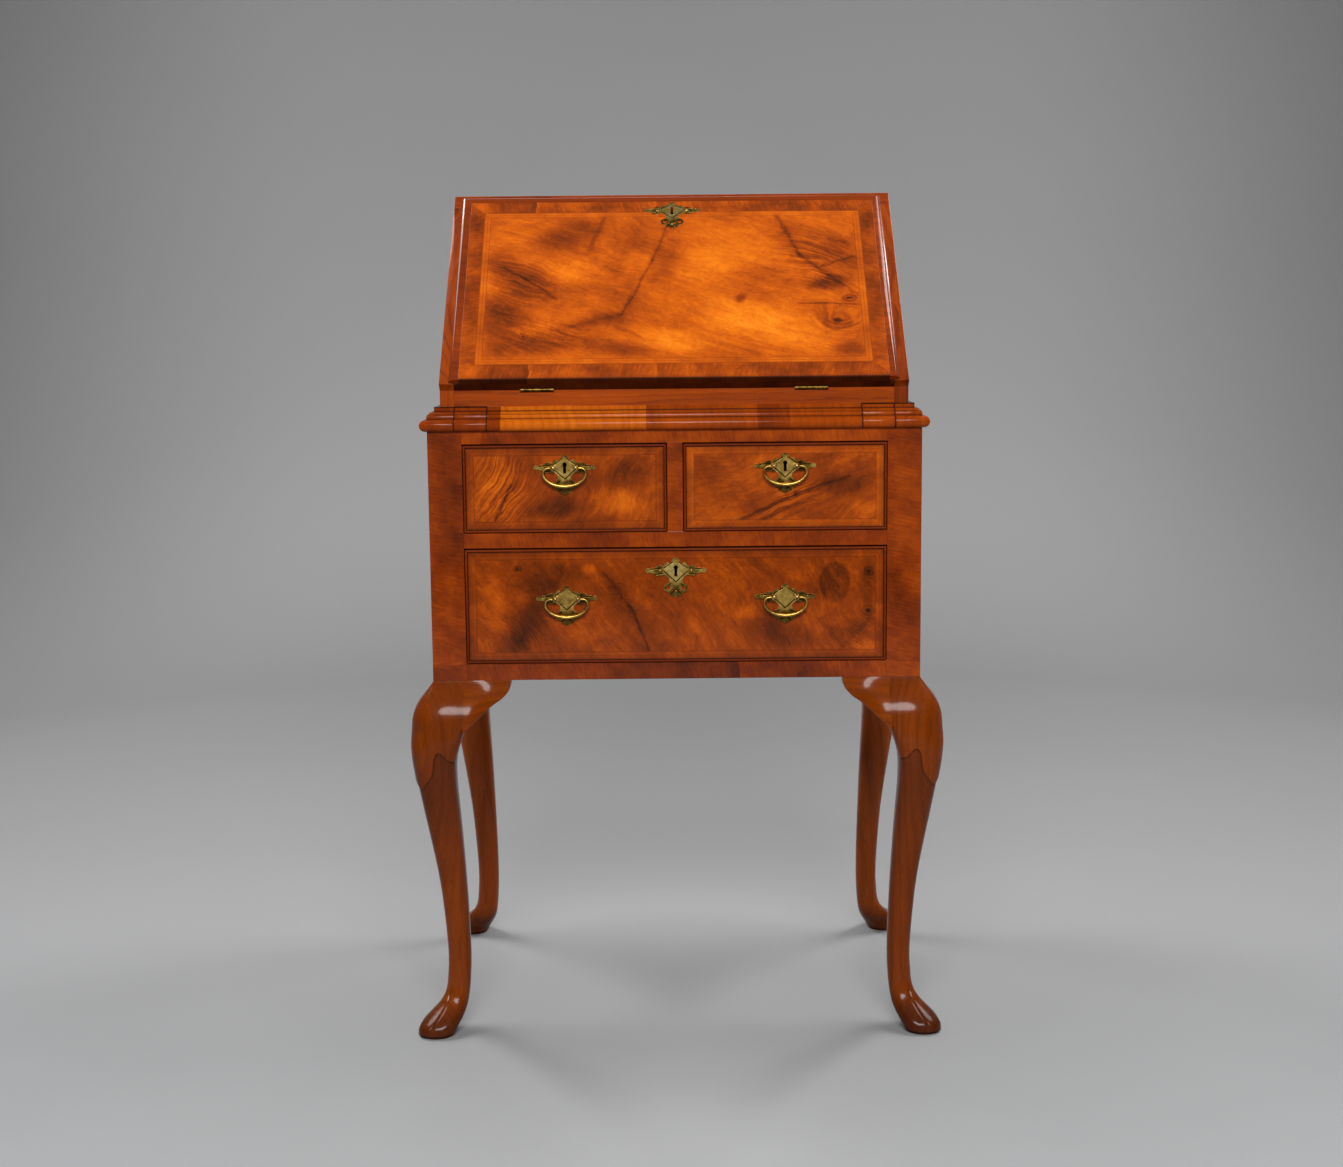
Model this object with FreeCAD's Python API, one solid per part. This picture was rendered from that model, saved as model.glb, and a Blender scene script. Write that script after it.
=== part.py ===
import FreeCAD, Part
import math
import os

V = FreeCAD.Vector

# Lower case
case_width = 576.0
case_depth = 410.0
stile_width = 40.0
frame_depth = 22.0
bottom_rail_height = 20.0
long_opening_height = 137.0
middle_rail_height = 18.0
short_opening_height = 104.0
top_rail_height = 15.0
divider_width = 18.0
case_side_thickness = 18.0
case_back_thickness = 9.0
dust_board_thickness = 12.0
guide_height = 30.0

# Legs and knee brackets
stand_height = 433.0
leg_block_width = 38.0
knee_overhang = 26.0
back_leg_inset = 4.0
back_leg_setback = 22.0
sole_thickness = 3.5
sole_radius = 20.0
bracket_length = 54.0
bracket_drop = 58.0
bracket_depth = 24.0

# Desk box
desk_inset = 14.5
desk_side_thickness = 17.0
desk_back_thickness = 9.0
desk_top_thickness = 15.0
desk_rise = 236.0
slope_angle = 45.0
desk_rail_depth = 18.0
loper_guide_width = 18.0

# Waist moulding
waist_overhang = 8.0
torus_radius = 7.0
ovolo_radius = 7.5
waist_fillet = 1.5
waist_step = 0.8

# Lopers
loper_width = 38.0
loper_height = 28.0
loper_length = 340.0

# Fall front
fall_thickness = 18.0
fall_side_clearance = 0.8
fall_edge_gap = 0.5
fall_rest_gap = 0.5
fall_seat_gap = 0.3
lip_thickness = 6.0
lip_overlap = 5.5
lip_let_in = 5.0
lip_round = 4.0
lip_quirk = 0.8
top_margin = 8.0
fall_key_drop = 30.0

# Butt hinges of the fall
hinge_length = 39.0
hinge_centre = 160.0
hinge_barrel_radius = 2.5
hinge_pin_radius = 1.2
hinge_leaf_thickness = 1.5
hinge_leaf_width = 14.0
hinge_clearance = 0.3

# Drawers
drawer_front_thickness = 20.0
drawer_side_thickness = 10.0
drawer_bottom_thickness = 6.0
drawer_bottom_lift = 4.0
drawer_side_drop = 4.0
drawer_side_clearance = 0.6
drawer_top_clearance = 1.0
drawer_back_gap = 6.0
bead_width = 3.5
bead_proud = 2.5
bead_let_in = 8.0
bead_mitre_gap = 0.05
slide_clearance = 0.3

# Brass plates, posts and bails
plate_width = 72.0
plate_thickness = 1.5
keyhole_radius = 2.6
keyhole_slot_width = 3.4
keyhole_slot_length = 10.5
short_handle_drop = 28.0
long_handle_drop = 60.0
long_key_drop = 28.0
post_spacing = 26.8
post_radius = 2.8
post_head_radius = 3.4
post_shank_radius = 2.0
post_shank_depth = 9.0
bail_standoff = 6.0
bail_half_width = 25.0
bail_shoulder_half_width = 18.5
bail_shoulder_drop = 5.5
bail_belly_drop = 16.0
bail_belly_radius = 2.1
bail_pin_radius = 1.15
running_clearance = 0.05

# Locks
lock_width = 56.0
lock_depth = 11.0
lock_let_in = 8.0
lock_below_key = 14.0

# Pigeonhole nest
nest_depth = 150.0
nest_fall_gap = 5.0
nest_drawer_height = 58.0
nest_board_thickness = 8.0
nest_centre_width = 162.0
nest_hole_count = 5
nest_front_thickness = 10.0
nest_side_thickness = 6.0
nest_bottom_thickness = 4.0
nest_side_clearance = 0.4
nest_top_clearance = 0.8
nest_back_gap = 4.0
nest_knob_radius = 6.0
nest_knob_length = 13.0

# Every cut runs past the piece by this much
overrun = 5.0

# Cabriole leg: height, then reach outside and inside the case face, then outer and other corner rounding
# (shares of the leg height, the knee overhang, the leg block and half the section)
leg_station_shares = (
    (1.000, 0.00, 1.00, 0.16, 0.03),
    (0.976, 0.27, 1.00, 0.36, 0.03),
    (0.950, 0.60, 1.00, 0.54, 0.03),
    (0.920, 0.86, 1.00, 0.66, 0.04),
    (0.885, 0.985, 1.00, 0.72, 0.12),
    (0.845, 1.00, 0.88, 0.76, 0.40),
    (0.800, 0.975, 0.71, 0.78, 0.60),
    (0.740, 0.85, 0.655, 0.78, 0.68),
    (0.680, 0.69, 0.685, 0.78, 0.74),
    (0.600, 0.455, 0.75, 0.76, 0.80),
    (0.500, 0.17, 0.815, 0.82, 0.84),
    (0.400, -0.065, 0.87, 0.86, 0.88),
    (0.300, -0.21, 0.91, 0.90, 0.90),
    (0.200, -0.29, 0.925, 0.92, 0.92),
    (0.145, -0.24, 0.90, 0.92, 0.92),
    (0.105, -0.12, 0.86, 0.90, 0.92),
    (0.080, 0.12, 0.815, 0.86, 0.92),
    (0.060, 0.46, 0.75, 0.80, 0.92),
    (0.040, 0.83, 0.64, 0.76, 0.92),
    (0.022, 1.02, 0.52, 0.74, 0.92),
)
sole_edge_shares = (1.05, 0.45, 0.74, 0.92)

# Knee bracket: its lower edge from the leg to the tip (shares of its length and drop)
bracket_edge_shares = ((0.0, 1.0), (0.09, 0.91), (0.37, 0.67), (0.60, 0.50), (0.77, 0.40), (0.90, 0.28))
bracket_tip_share = (0.965, 0.18)
bracket_section_shares = (0.0, 0.12, 0.28, 0.44, 0.60, 0.78, 1.0)

# Brass plate: round lobes and the outline that ties them, above the post line (shares of its width)
plate_lobe_shares = (
    (0.0, 0.144, 0.066),
    (0.140, 0.088, 0.044),
    (0.268, 0.0, 0.090),
    (0.385, 0.006, 0.044),
    (0.462, 0.003, 0.038),
    (0.130, -0.282, 0.070),
    (0.062, -0.362, 0.052),
    (0.0, -0.392, 0.050),
)
plate_outline_shares = (
    (0.0, 0.150), (0.078, 0.122), (0.165, 0.092), (0.270, 0.060), (0.460, 0.020), (0.460, -0.020),
    (0.260, -0.072), (0.185, -0.066), (0.120, -0.112), (0.104, -0.160), (0.130, -0.210),
    (0.180, -0.260), (0.110, -0.345), (0.0, -0.420),
)
plate_pierce_shares = ((0.128, -0.282, 0.034), (0.052, -0.318, 0.018))
plate_key_share = 0.050

# Bail: places along half of it where its thickness is set (shares of the way from pin to belly)
bail_place_shares = (0.0, 0.12, 0.24, 0.36, 0.52, 0.70, 0.86, 1.0)

# Turned knob: reach and radius from the drawer face (shares of its length and radius)
knob_profile_shares = (
    (0.0, 0.75), (0.10, 0.75), (0.22, 0.42), (0.42, 0.42), (0.62, 1.0), (0.84, 0.92), (1.0, 0.45),
)

# Places worked out from the sizes
front = -(case_depth - back_leg_setback) / 2
back = front + case_depth
case_half = case_width / 2
frame_back = front + frame_depth
opening_half = case_half - stile_width
divider_half = divider_width / 2
case_inner_half = case_half - case_side_thickness
case_inner_back = back - case_back_thickness
case_z0 = stand_height
long_z0 = case_z0 + bottom_rail_height
long_z1 = long_z0 + long_opening_height
short_z0 = long_z1 + middle_rail_height
short_z1 = short_z0 + short_opening_height
case_z1 = short_z1 + top_rail_height

desk_front = front + desk_inset
desk_half = case_half - desk_inset
desk_inner_half = desk_half - desk_side_thickness
desk_inner_back = back - desk_back_thickness
loper_z0 = case_z1 + slide_clearance
loper_z1 = loper_z0 + loper_height
board_z0 = loper_z1 + slide_clearance
writing_z = loper_z1 + fall_rest_gap + fall_thickness
desk_top_z = writing_z + desk_rise
desk_ceiling = desk_top_z - desk_top_thickness
loper_outer = desk_inner_half - slide_clearance
loper_inner = loper_outer - loper_width
guide_outer = loper_inner - slide_clearance
guide_inner = guide_outer - loper_guide_width

slope = math.radians(slope_angle)
seat_height = fall_thickness - lip_thickness - fall_seat_gap
slope_length = (desk_rise - seat_height * math.cos(slope)) / math.sin(slope)
lip_end = slope_length - top_margin
fall_end = lip_end - lip_overlap - fall_side_clearance
fall_half = desk_inner_half - fall_side_clearance
lip_half = desk_inner_half + lip_overlap

nest_front = desk_inner_back - nest_depth
nest_shelf_z0 = writing_z + nest_drawer_height
nest_shelf_z1 = nest_shelf_z0 + nest_board_thickness
nest_centre_half = nest_centre_width / 2
nest_divider_outer = nest_centre_half + nest_board_thickness
handle_x = (divider_half + opening_half) / 2
post_half = post_spacing / 2

across = V(1, 0, 0)
depthwise = V(0, 1, 0)
up = V(0, 0, 1)


def box(xs, ys, zs):
    size = V(xs[1] - xs[0], ys[1] - ys[0], zs[1] - zs[0])
    return Part.makeBox(size.x, size.y, size.z, V(xs[0], ys[0], zs[0]))


def prism(points, sweep):
    wire = Part.makePolygon(list(points) + [points[0]])
    return Part.Face(wire).extrude(sweep)


def flip(shape, normal):
    return shape.mirror(V(), normal)


def both_sides(shape):
    return [shape, flip(shape, across)]


def moved(shape, offset):
    return shape.translated(offset)


def trim(shape, point, normal):
    """The shape without what lies beyond the plane at point."""
    reach = shape.BoundBox.DiagonalLength
    block = Part.makeBox(2 * reach, 2 * reach, reach, V(-reach, -reach, 0))
    block.Placement = FreeCAD.Placement(point, FreeCAD.Rotation(up, normal))
    return shape.cut(block)


def on_slope(shape):
    """A shape drawn flat (x, up the slope, outwards), set on the closed fall's plane."""
    turned = shape.copy()
    turned.rotate(V(), across, slope_angle)
    return moved(turned, V(0, desk_front, writing_z))


def slope_point(along, out):
    return on_slope(Part.Vertex(V(0, along, out))).Point


def save(node, shapes):
    solid = shapes[0] if len(shapes) == 1 else Part.makeCompound(shapes)
    solid.exportStep("parts/%s.step" % node)


def case_pieces():
    full_depth = (frame_back, case_inner_back)
    inner = (-case_inner_half, case_inner_half)
    opening = (-opening_half, opening_half)
    frame = (front, frame_back)
    side = box((-case_half, -case_inner_half), (frame_back, back), (case_z0, case_z1))
    stile = box((-case_half, -opening_half), frame, (case_z0, case_z1))
    side_guide = box((opening_half, case_inner_half), full_depth, (short_z0, short_z0 + guide_height))
    low_guide = moved(side_guide, V(0, 0, long_z0 - short_z0))
    centre_guide = box((-divider_half, divider_half), full_depth, (short_z0, short_z0 + guide_height))
    return {
        "case_left_side": [side],
        "case_right_side": [flip(side, across)],
        "case_back": [box(inner, (case_inner_back, back), (case_z0, case_z1))],
        "case_bottom": [box(inner, full_depth, (case_z0, long_z0))],
        "case_top": [box(inner, full_depth, (short_z1, case_z1))],
        "dust_board": [box(inner, full_depth, (short_z0 - dust_board_thickness, short_z0))],
        "front_stiles": both_sides(stile),
        "top_rail": [box(opening, frame, (short_z1, case_z1))],
        "middle_rail": [box(opening, frame, (long_z1, short_z0))],
        "bottom_rail": [box(opening, frame, (case_z0, long_z0))],
        "drawer_divider": [box((-divider_half, divider_half), frame, (short_z0, short_z1))],
        "drawer_guides": both_sides(side_guide) + both_sides(low_guide) + [centre_guide],
    }


def leg_reach(station):
    """Height and the reach outside and inside the case face at one station."""
    return station[0] * stand_height, station[1] * knee_overhang, station[2] * leg_block_width


def leg_section(height, outside, inside, outer_share, corner_share):
    """A rounded square about the leg's diagonal, for the front left leg."""
    half = (outside + inside) / 2
    low = -half
    corners = ((low, low, outer_share), (half, low, corner_share),
               (half, half, corner_share), (low, half, corner_share))
    centre = V(-case_half + inside - half, front + inside - half, height)
    edges = []
    starts = []
    for x, y, share in corners:
        radius = share * half
        step_x = V(-math.copysign(radius, x), 0, 0)
        step_y = V(0, -math.copysign(radius, y), 0)
        corner = centre + V(x, y, 0)
        pivot = corner + step_x + step_y
        middle = pivot + (corner - pivot).normalize() * radius
        entry, leave = (corner + step_y, corner + step_x)
        if x * y < 0:
            entry, leave = leave, entry
        edges.append(Part.Arc(entry, middle, leave).toShape())
        starts.append((entry, leave))
    sides = [Part.makeLine(starts[k][1], starts[(k + 1) % 4][0]) for k in range(4)]
    return Part.Wire([edge for pair in zip(edges, sides) for edge in pair])


def front_left_leg():
    stations = [leg_section(*leg_reach(row), *row[3:]) for row in leg_station_shares]
    outside, inside = (sole_edge_shares[0] * knee_overhang, sole_edge_shares[1] * leg_block_width)
    stations.append(leg_section(sole_thickness, outside, inside, *sole_edge_shares[2:]))
    leg = Part.makeLoft(stations, True, False)
    middle = (inside - outside) / 2
    centre = V(-case_half + middle, front + middle, 0)
    sole = Part.makeCylinder(sole_radius, sole_thickness + overrun, centre)
    joint = V(-case_half + leg_block_width, front + leg_block_width, 0)
    leg = trim(trim(leg.fuse(sole), joint, across), joint, depthwise)
    return leg.removeSplitter()


def knee_swell(height):
    """How far the leg stands out of the case face at a height."""
    rows = [leg_reach(row) for row in leg_station_shares]
    for (high, high_out, _), (low, low_out, _) in zip(rows, rows[1:]):
        if low <= height <= high:
            return low_out + (high_out - low_out) * (height - low) / (high - low)
    return rows[-1][1]


def bracket_section(along_share):
    """The bracket's upright section at a place along its length, where the knee's swell dies away."""
    swell_share = (1 + math.cos(math.pi * along_share)) / 2
    x = -case_half + leg_block_width + along_share * bracket_length
    low = stand_height - bracket_drop
    heights = [row[0] * stand_height for row in leg_station_shares if row[0] * stand_height > low] + [low]
    face = [V(x, front - swell_share * knee_swell(z), z) for z in heights]
    curve = Part.BSplineCurve()
    curve.interpolate(face)
    rear = [V(x, front + bracket_depth, low), V(x, front + bracket_depth, stand_height)]
    lines = [Part.makeLine(a, b) for a, b in zip([face[-1]] + rear, rear + [face[0]])]
    return Part.Wire([curve.toShape()] + lines)


def front_left_bracket():
    blank = Part.makeLoft([bracket_section(share) for share in bracket_section_shares], True, True)
    root = V(-case_half + leg_block_width, front - knee_overhang - overrun, stand_height)

    def place(share):
        return root + V(share[0] * bracket_length, 0, -share[1] * bracket_drop)

    lower_edge = Part.BSplineCurve()
    lower_edge.interpolate([place(share) for share in bracket_edge_shares])
    tip = root + V(bracket_length, 0, 0)
    nose = Part.Arc(place(bracket_edge_shares[-1]), place(bracket_tip_share), tip).toShape()
    ends = [Part.makeLine(tip, root), Part.makeLine(root, place(bracket_edge_shares[0]))]
    outline = Part.Face(Part.Wire([lower_edge.toShape(), nose] + ends))
    return blank.common(outline.extrude(V(0, knee_overhang + bracket_depth + 2 * overrun, 0)))


def stand_pieces():
    leg = front_left_leg()
    bracket = front_left_bracket()
    side_bracket = bracket.mirror(V(-case_half, front, 0), V(1, -1, 0).normalize())
    inset = V(back_leg_inset, 0, 0)
    back_leg = moved(flip(leg, depthwise), inset)
    back_bracket = moved(flip(side_bracket, depthwise), inset)
    brackets = [piece for shape in (bracket, side_bracket, back_bracket) for piece in both_sides(shape)]
    return {
        "front_left_leg": [leg],
        "front_right_leg": [flip(leg, across)],
        "back_left_leg": [back_leg],
        "back_right_leg": [flip(back_leg, across)],
        "knee_brackets": brackets,
    }


def waist_run(start, length):
    """The waist moulding's section run along +X from x = start, outwards to -Y."""
    reach = desk_inset + waist_overhang
    belly = reach - torus_radius
    torus_top = 2 * torus_radius
    ovolo_base = torus_top + waist_fillet
    neck = belly - waist_step - ovolo_radius

    def place(out, rise):
        return V(start, desk_front - out, case_z1 + rise)

    bend = ovolo_radius * math.sqrt(0.5)
    ovolo = Part.Arc(place(neck + ovolo_radius, ovolo_base), place(neck + bend, ovolo_base + bend),
                     place(neck, ovolo_base + ovolo_radius)).toShape()
    torus = Part.Arc(place(belly, 0), place(reach, torus_radius), place(belly, torus_top)).toShape()
    crown = neck - waist_step
    height = loper_z1 - case_z1
    ledge = [place(belly, torus_top), place(neck + ovolo_radius, torus_top),
             place(neck + ovolo_radius, ovolo_base)]
    top_line = [place(neck, ovolo_base + ovolo_radius), place(crown, ovolo_base + ovolo_radius),
                place(crown, height), place(0, height), place(0, 0), place(belly, 0)]
    lower = [Part.makeLine(a, b) for a, b in zip(ledge, ledge[1:])]
    upper = [Part.makeLine(a, b) for a, b in zip(top_line, top_line[1:])]
    return Part.Face(Part.Wire([torus] + lower + [ovolo] + upper)).extrude(V(length, 0, 0))


def waist_moulding():
    reach = desk_inset + waist_overhang
    corner = V(desk_half, desk_front, case_z1)
    mitre = V(1, 1, 0).normalize()
    centre = waist_run(-guide_outer, 2 * guide_outer)
    end = trim(waist_run(desk_inner_half, desk_side_thickness + reach), corner, mitre)
    run = waist_run(0, back - desk_front + reach)
    run.rotate(V(0, desk_front, 0), up, 90)
    side = trim(moved(run, V(desk_half, -reach, 0)), corner, -mitre)
    return [centre] + both_sides(end) + both_sides(side)


def hinge_knuckle(radius, start, length):
    return Part.makeCylinder(radius, length, V(start, 0, 0), across)


def hinge_leaf(own_spans, other_spans, leaf):
    """A leaf with its own knuckles, cut clear of the other leaf's, about an axis along X."""
    for start, length in other_spans:
        room = hinge_barrel_radius + hinge_clearance
        leaf = leaf.cut(hinge_knuckle(room, start - hinge_clearance, length + 2 * hinge_clearance))
    for start, length in own_spans:
        leaf = leaf.fuse(hinge_knuckle(hinge_barrel_radius, start, length))
    bore = hinge_pin_radius + running_clearance
    return leaf.cut(hinge_knuckle(bore, -hinge_length, 2 * hinge_length))


def hinge_pieces():
    """Desk leaf, fall leaf, pin and pocket of one hinge, all about the hinge axis at x = 0."""
    third = hinge_length / 3
    half = hinge_length / 2
    span = (-half, half)
    outer_spans = ((-half, third), (half - third, third))
    middle_span = ((-half + third + hinge_clearance, third - 2 * hinge_clearance),)
    desk_blank = box(span, (0, hinge_leaf_width), (-hinge_leaf_thickness, 0))
    fall_blank = box(span, (0, hinge_leaf_width), (0, hinge_leaf_thickness))
    pocket = hinge_knuckle(hinge_barrel_radius + hinge_clearance, -half - hinge_clearance,
                           hinge_length + 2 * hinge_clearance)
    return {
        "desk_leaf": hinge_leaf(outer_spans, middle_span, desk_blank),
        "fall_leaf": hinge_leaf(middle_span, outer_spans, fall_blank),
        "pin": hinge_knuckle(hinge_pin_radius, -half, hinge_length),
        "pocket": pocket,
        "desk_recess": desk_blank,
        "fall_recess": fall_blank,
    }


def at_hinge(shape):
    return both_sides(moved(shape, V(hinge_centre, desk_front, writing_z)))


def at_fall_hinge(shape):
    return [on_slope(piece) for piece in both_sides(moved(shape, V(hinge_centre, 0, 0)))]


def desk_side():
    eaves = (desk_ceiling - slope_point(0, seat_height).z) / math.sin(slope)
    places = [(desk_front, case_z1), (desk_front, writing_z)]
    places += [(p.y, p.z) for p in (slope_point(0, seat_height), slope_point(eaves, seat_height))]
    places += [(back, desk_ceiling), (back, case_z1)]
    return prism([V(-desk_half, y, z) for y, z in places], V(desk_side_thickness, 0, 0))


def desk_top():
    lower = (desk_ceiling - slope_point(0, seat_height).z) / math.sin(slope)
    nose = slope_point(lower, seat_height)
    brow = slope_point(slope_length, seat_height)
    places = [(nose.y, nose.z), (brow.y, brow.z), (back, desk_top_z), (back, desk_ceiling)]
    board = prism([V(-desk_half, y, z) for y, z in places], V(2 * desk_half, 0, 0))
    room = box((-desk_inner_half, desk_inner_half), (0, fall_end + fall_side_clearance),
               (-fall_thickness, fall_thickness))
    return board.cut(on_slope(room))


def loper_channel():
    """The room in which the right loper runs."""
    xs = (loper_inner - slide_clearance, loper_outer + slide_clearance)
    return box(xs, (desk_front, desk_front + loper_length + slide_clearance), (case_z1, board_z0))


def desk_pieces(hinge):
    inner = (-desk_inner_half, desk_inner_half)
    side = desk_side()
    guide = box((guide_inner, guide_outer), (desk_front, desk_inner_back), (case_z1, board_z0))
    board = box(inner, (desk_front, desk_inner_back), (board_z0, writing_z))
    for cutter in at_hinge(hinge["pocket"]) + at_hinge(hinge["desk_recess"]):
        board = board.cut(cutter)
    rail = box((-guide_inner, guide_inner), (desk_front, desk_front + desk_rail_depth), (case_z1, board_z0))
    rear = box(inner, (desk_inner_back, back), (case_z1, desk_ceiling))
    for channel in both_sides(loper_channel()):
        rear = rear.cut(channel)
    return {
        "desk_left_side": [side],
        "desk_right_side": [flip(side, across)],
        "desk_top": [desk_top()],
        "desk_back": [rear],
        "writing_board": [board],
        "desk_front_rail": [rail],
        "loper_guides": both_sides(guide),
        "waist_moulding": waist_moulding(),
        "hinge_desk_leaves": at_hinge(hinge["desk_leaf"]),
        "hinge_pins": at_hinge(hinge["pin"]),
    }


def nest_boards():
    """The shelf and dividers, cut back wherever the closed fall would come too near."""
    inner = (-desk_inner_half, desk_inner_half)
    ys = (nest_front, desk_inner_back)
    fall_room = on_slope(box(inner, (0, slope_length), (-nest_fall_gap, fall_thickness)))
    shelf = box(inner, ys, (nest_shelf_z0, nest_shelf_z1))
    dividers = both_sides(box((nest_centre_half, nest_divider_outer), ys, (writing_z, nest_shelf_z0)))
    clear_width = 2 * desk_inner_half - (nest_hole_count - 1) * nest_board_thickness
    pitch = clear_width / nest_hole_count + nest_board_thickness
    for k in range(1, nest_hole_count):
        x = -desk_inner_half + k * pitch
        dividers.append(box((x - nest_board_thickness, x), ys, (nest_shelf_z1, desk_ceiling)))
    return {"pigeonhole_shelf": [shelf.cut(fall_room)],
            "pigeonhole_dividers": [divider.cut(fall_room) for divider in dividers]}


def knob(centre):
    """A turned knob standing out to -Y from centre."""
    rim = []
    for reach, radius in knob_profile_shares:
        rim.append(V(radius * nest_knob_radius, -reach * nest_knob_length, 0))
    outline = [V()] + rim + [V(0, -nest_knob_length, 0)]
    face = Part.Face(Part.makePolygon(outline + [V()]))
    return moved(face.revolve(V(), depthwise, 360), centre)


def drawer_box(xs, ys, zs, wall, bottom, lift):
    """Two sides, a back and a bottom as separate boards."""
    inner = (xs[0] + wall, xs[1] - wall)
    floor = (zs[0] + lift, zs[0] + lift + bottom)
    rear = ys[1] - wall
    left = box((xs[0], inner[0]), ys, zs)
    right = box((inner[1], xs[1]), ys, zs)
    return [left, right, box(inner, (rear, ys[1]), zs), box(inner, (ys[0], rear), floor)]


def nest_drawer():
    """The right nest drawer and its knob."""
    xs = (nest_divider_outer + nest_side_clearance, desk_inner_half - nest_side_clearance)
    zs = (writing_z + slide_clearance, nest_shelf_z0 - nest_top_clearance)
    face_back = nest_front + nest_front_thickness
    face = box(xs, (nest_front, face_back), zs)
    walls = drawer_box(xs, (face_back, desk_inner_back - nest_back_gap), zs,
                       nest_side_thickness, nest_bottom_thickness, 0)
    centre = V(sum(xs) / 2, nest_front, sum(zs) / 2)
    return [face] + walls, knob(centre)


def nest_pieces():
    walls, handle = nest_drawer()
    pieces = nest_boards()
    pieces["right_nest_drawer"] = walls
    pieces["right_nest_knob"] = [handle]
    pieces["left_nest_drawer"] = [flip(wall, across) for wall in walls]
    pieces["left_nest_knob"] = [flip(handle, across)]
    return pieces


def loper():
    xs = (loper_inner, loper_outer)
    bar = box(xs, (desk_front, desk_front + loper_length), (loper_z0, loper_z1))
    reach = desk_inset + waist_overhang + overrun
    room = box(xs, (desk_front - reach, desk_front), (loper_z0, loper_z1))
    return [bar, waist_run(loper_inner, loper_width).common(room)]


def keyhole(depth):
    """A keyhole cut of the given depth back from y = 0, its eye on the origin."""
    eye = Part.makeCylinder(keyhole_radius, depth + overrun, V(0, -overrun, 0), depthwise)
    half = keyhole_slot_width / 2
    return eye.fuse(box((-half, half), (-overrun, depth), (-keyhole_slot_length, 0)))


def brass_plate(with_key):
    """A pierced plate on the plane y = 0, its post line on z = 0."""
    thick = V(0, -plate_thickness, 0)
    half = [V(x * plate_width, 0, z * plate_width) for x, z in plate_outline_shares]
    mirrored = [V(-p.x, 0, p.z) for p in half[-2:0:-1]]
    plate = prism(half + mirrored, thick)

    def disc(x, z, radius):
        return Part.makeCylinder(radius, plate_thickness, V(x, 0, z), -depthwise)

    def pairs(rows):
        for x, z, radius in rows:
            for side in ((1, -1) if x else (1,)):
                yield disc(side * x * plate_width, z * plate_width, radius * plate_width)

    plate = plate.fuse(list(pairs(plate_lobe_shares))).removeSplitter()
    for hole in pairs(plate_pierce_shares):
        plate = plate.cut(hole)
    if with_key:
        plate = plate.cut(moved(keyhole(overrun), V(0, 0, plate_key_share * plate_width)))
    return plate


def post_hole(radius, depth):
    return [Part.makeCylinder(radius, depth + overrun, V(x, -overrun, 0), depthwise)
            for x in (-post_half, post_half)]


def handle_plate(with_key):
    """A plate with its two posts, which run into the wood behind it."""
    plate = brass_plate(with_key)
    for hole in post_hole(post_shank_radius, overrun):
        plate = plate.cut(hole)
    posts = []
    for x in (-post_half, post_half):
        face = V(x, -plate_thickness, 0)
        post = Part.makeCylinder(post_radius, bail_standoff, face, -depthwise)
        post = post.fuse(Part.makeSphere(post_head_radius, face + V(0, -bail_standoff, 0)))
        shank = Part.makeCylinder(post_shank_radius, plate_thickness + post_shank_depth, face, depthwise)
        eye_start = face + V(-2 * post_head_radius, -bail_standoff, 0)
        eye = Part.makeCylinder(bail_pin_radius + running_clearance, 4 * post_head_radius, eye_start, across)
        posts.append(post.fuse(shank).cut(eye))
    return [plate] + posts


def bail_path(share):
    """A place on the left half of the bail's centre line, from the pin to the belly, and its direction."""
    shoulder = bail_half_width - bail_shoulder_half_width
    turn = share * math.pi
    if share < 0.5:
        place = V(-bail_shoulder_half_width - shoulder * math.sin(turn), 0,
                  bail_shoulder_drop * (math.cos(turn) - 1))
        return place, V(-shoulder * math.cos(turn), 0, -bail_shoulder_drop * math.sin(turn))
    turn -= math.pi / 2
    place = V(-bail_half_width * math.cos(turn), 0, -bail_shoulder_drop - bail_belly_drop * math.sin(turn))
    return place, V(bail_half_width * math.sin(turn), 0, -bail_belly_drop * math.cos(turn))


def bail_section(share):
    place, direction = bail_path(share)
    radius = bail_pin_radius + (bail_belly_radius - bail_pin_radius) * share * share
    ring = Part.makeCircle(radius)
    ring.Placement = FreeCAD.Placement(place, FreeCAD.Rotation(depthwise, V(), direction, "ZXY"))
    return ring


def bail():
    """The bail hanging from its pins, on the plane y = 0."""
    left = [bail_section(share) for share in bail_place_shares]
    right = []
    for share in reversed(bail_place_shares[:-1]):
        place, direction = bail_path(share)
        ring = bail_section(share)
        turn = FreeCAD.Rotation(depthwise, V(), V(direction.x, 0, -direction.z), "ZXY")
        ring.Placement = FreeCAD.Placement(V(-place.x, 0, place.z), turn)
        right.append(ring)
    wire = Part.makeLoft([Part.Wire([ring]) for ring in left + right], True, False)
    pin_length = bail_shoulder_half_width - post_half
    for x in (-bail_shoulder_half_width, post_half):
        wire = wire.fuse(Part.makeCylinder(bail_pin_radius, pin_length, V(x, 0, 0), across))
    return wire.removeSplitter()


def at_front(shapes, x, z):
    return [moved(shape, V(x, front, z)) for shape in shapes]


def bail_at(x, z):
    return at_front([moved(bail(), V(0, -plate_thickness - bail_standoff, 0))], x, z)


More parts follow.
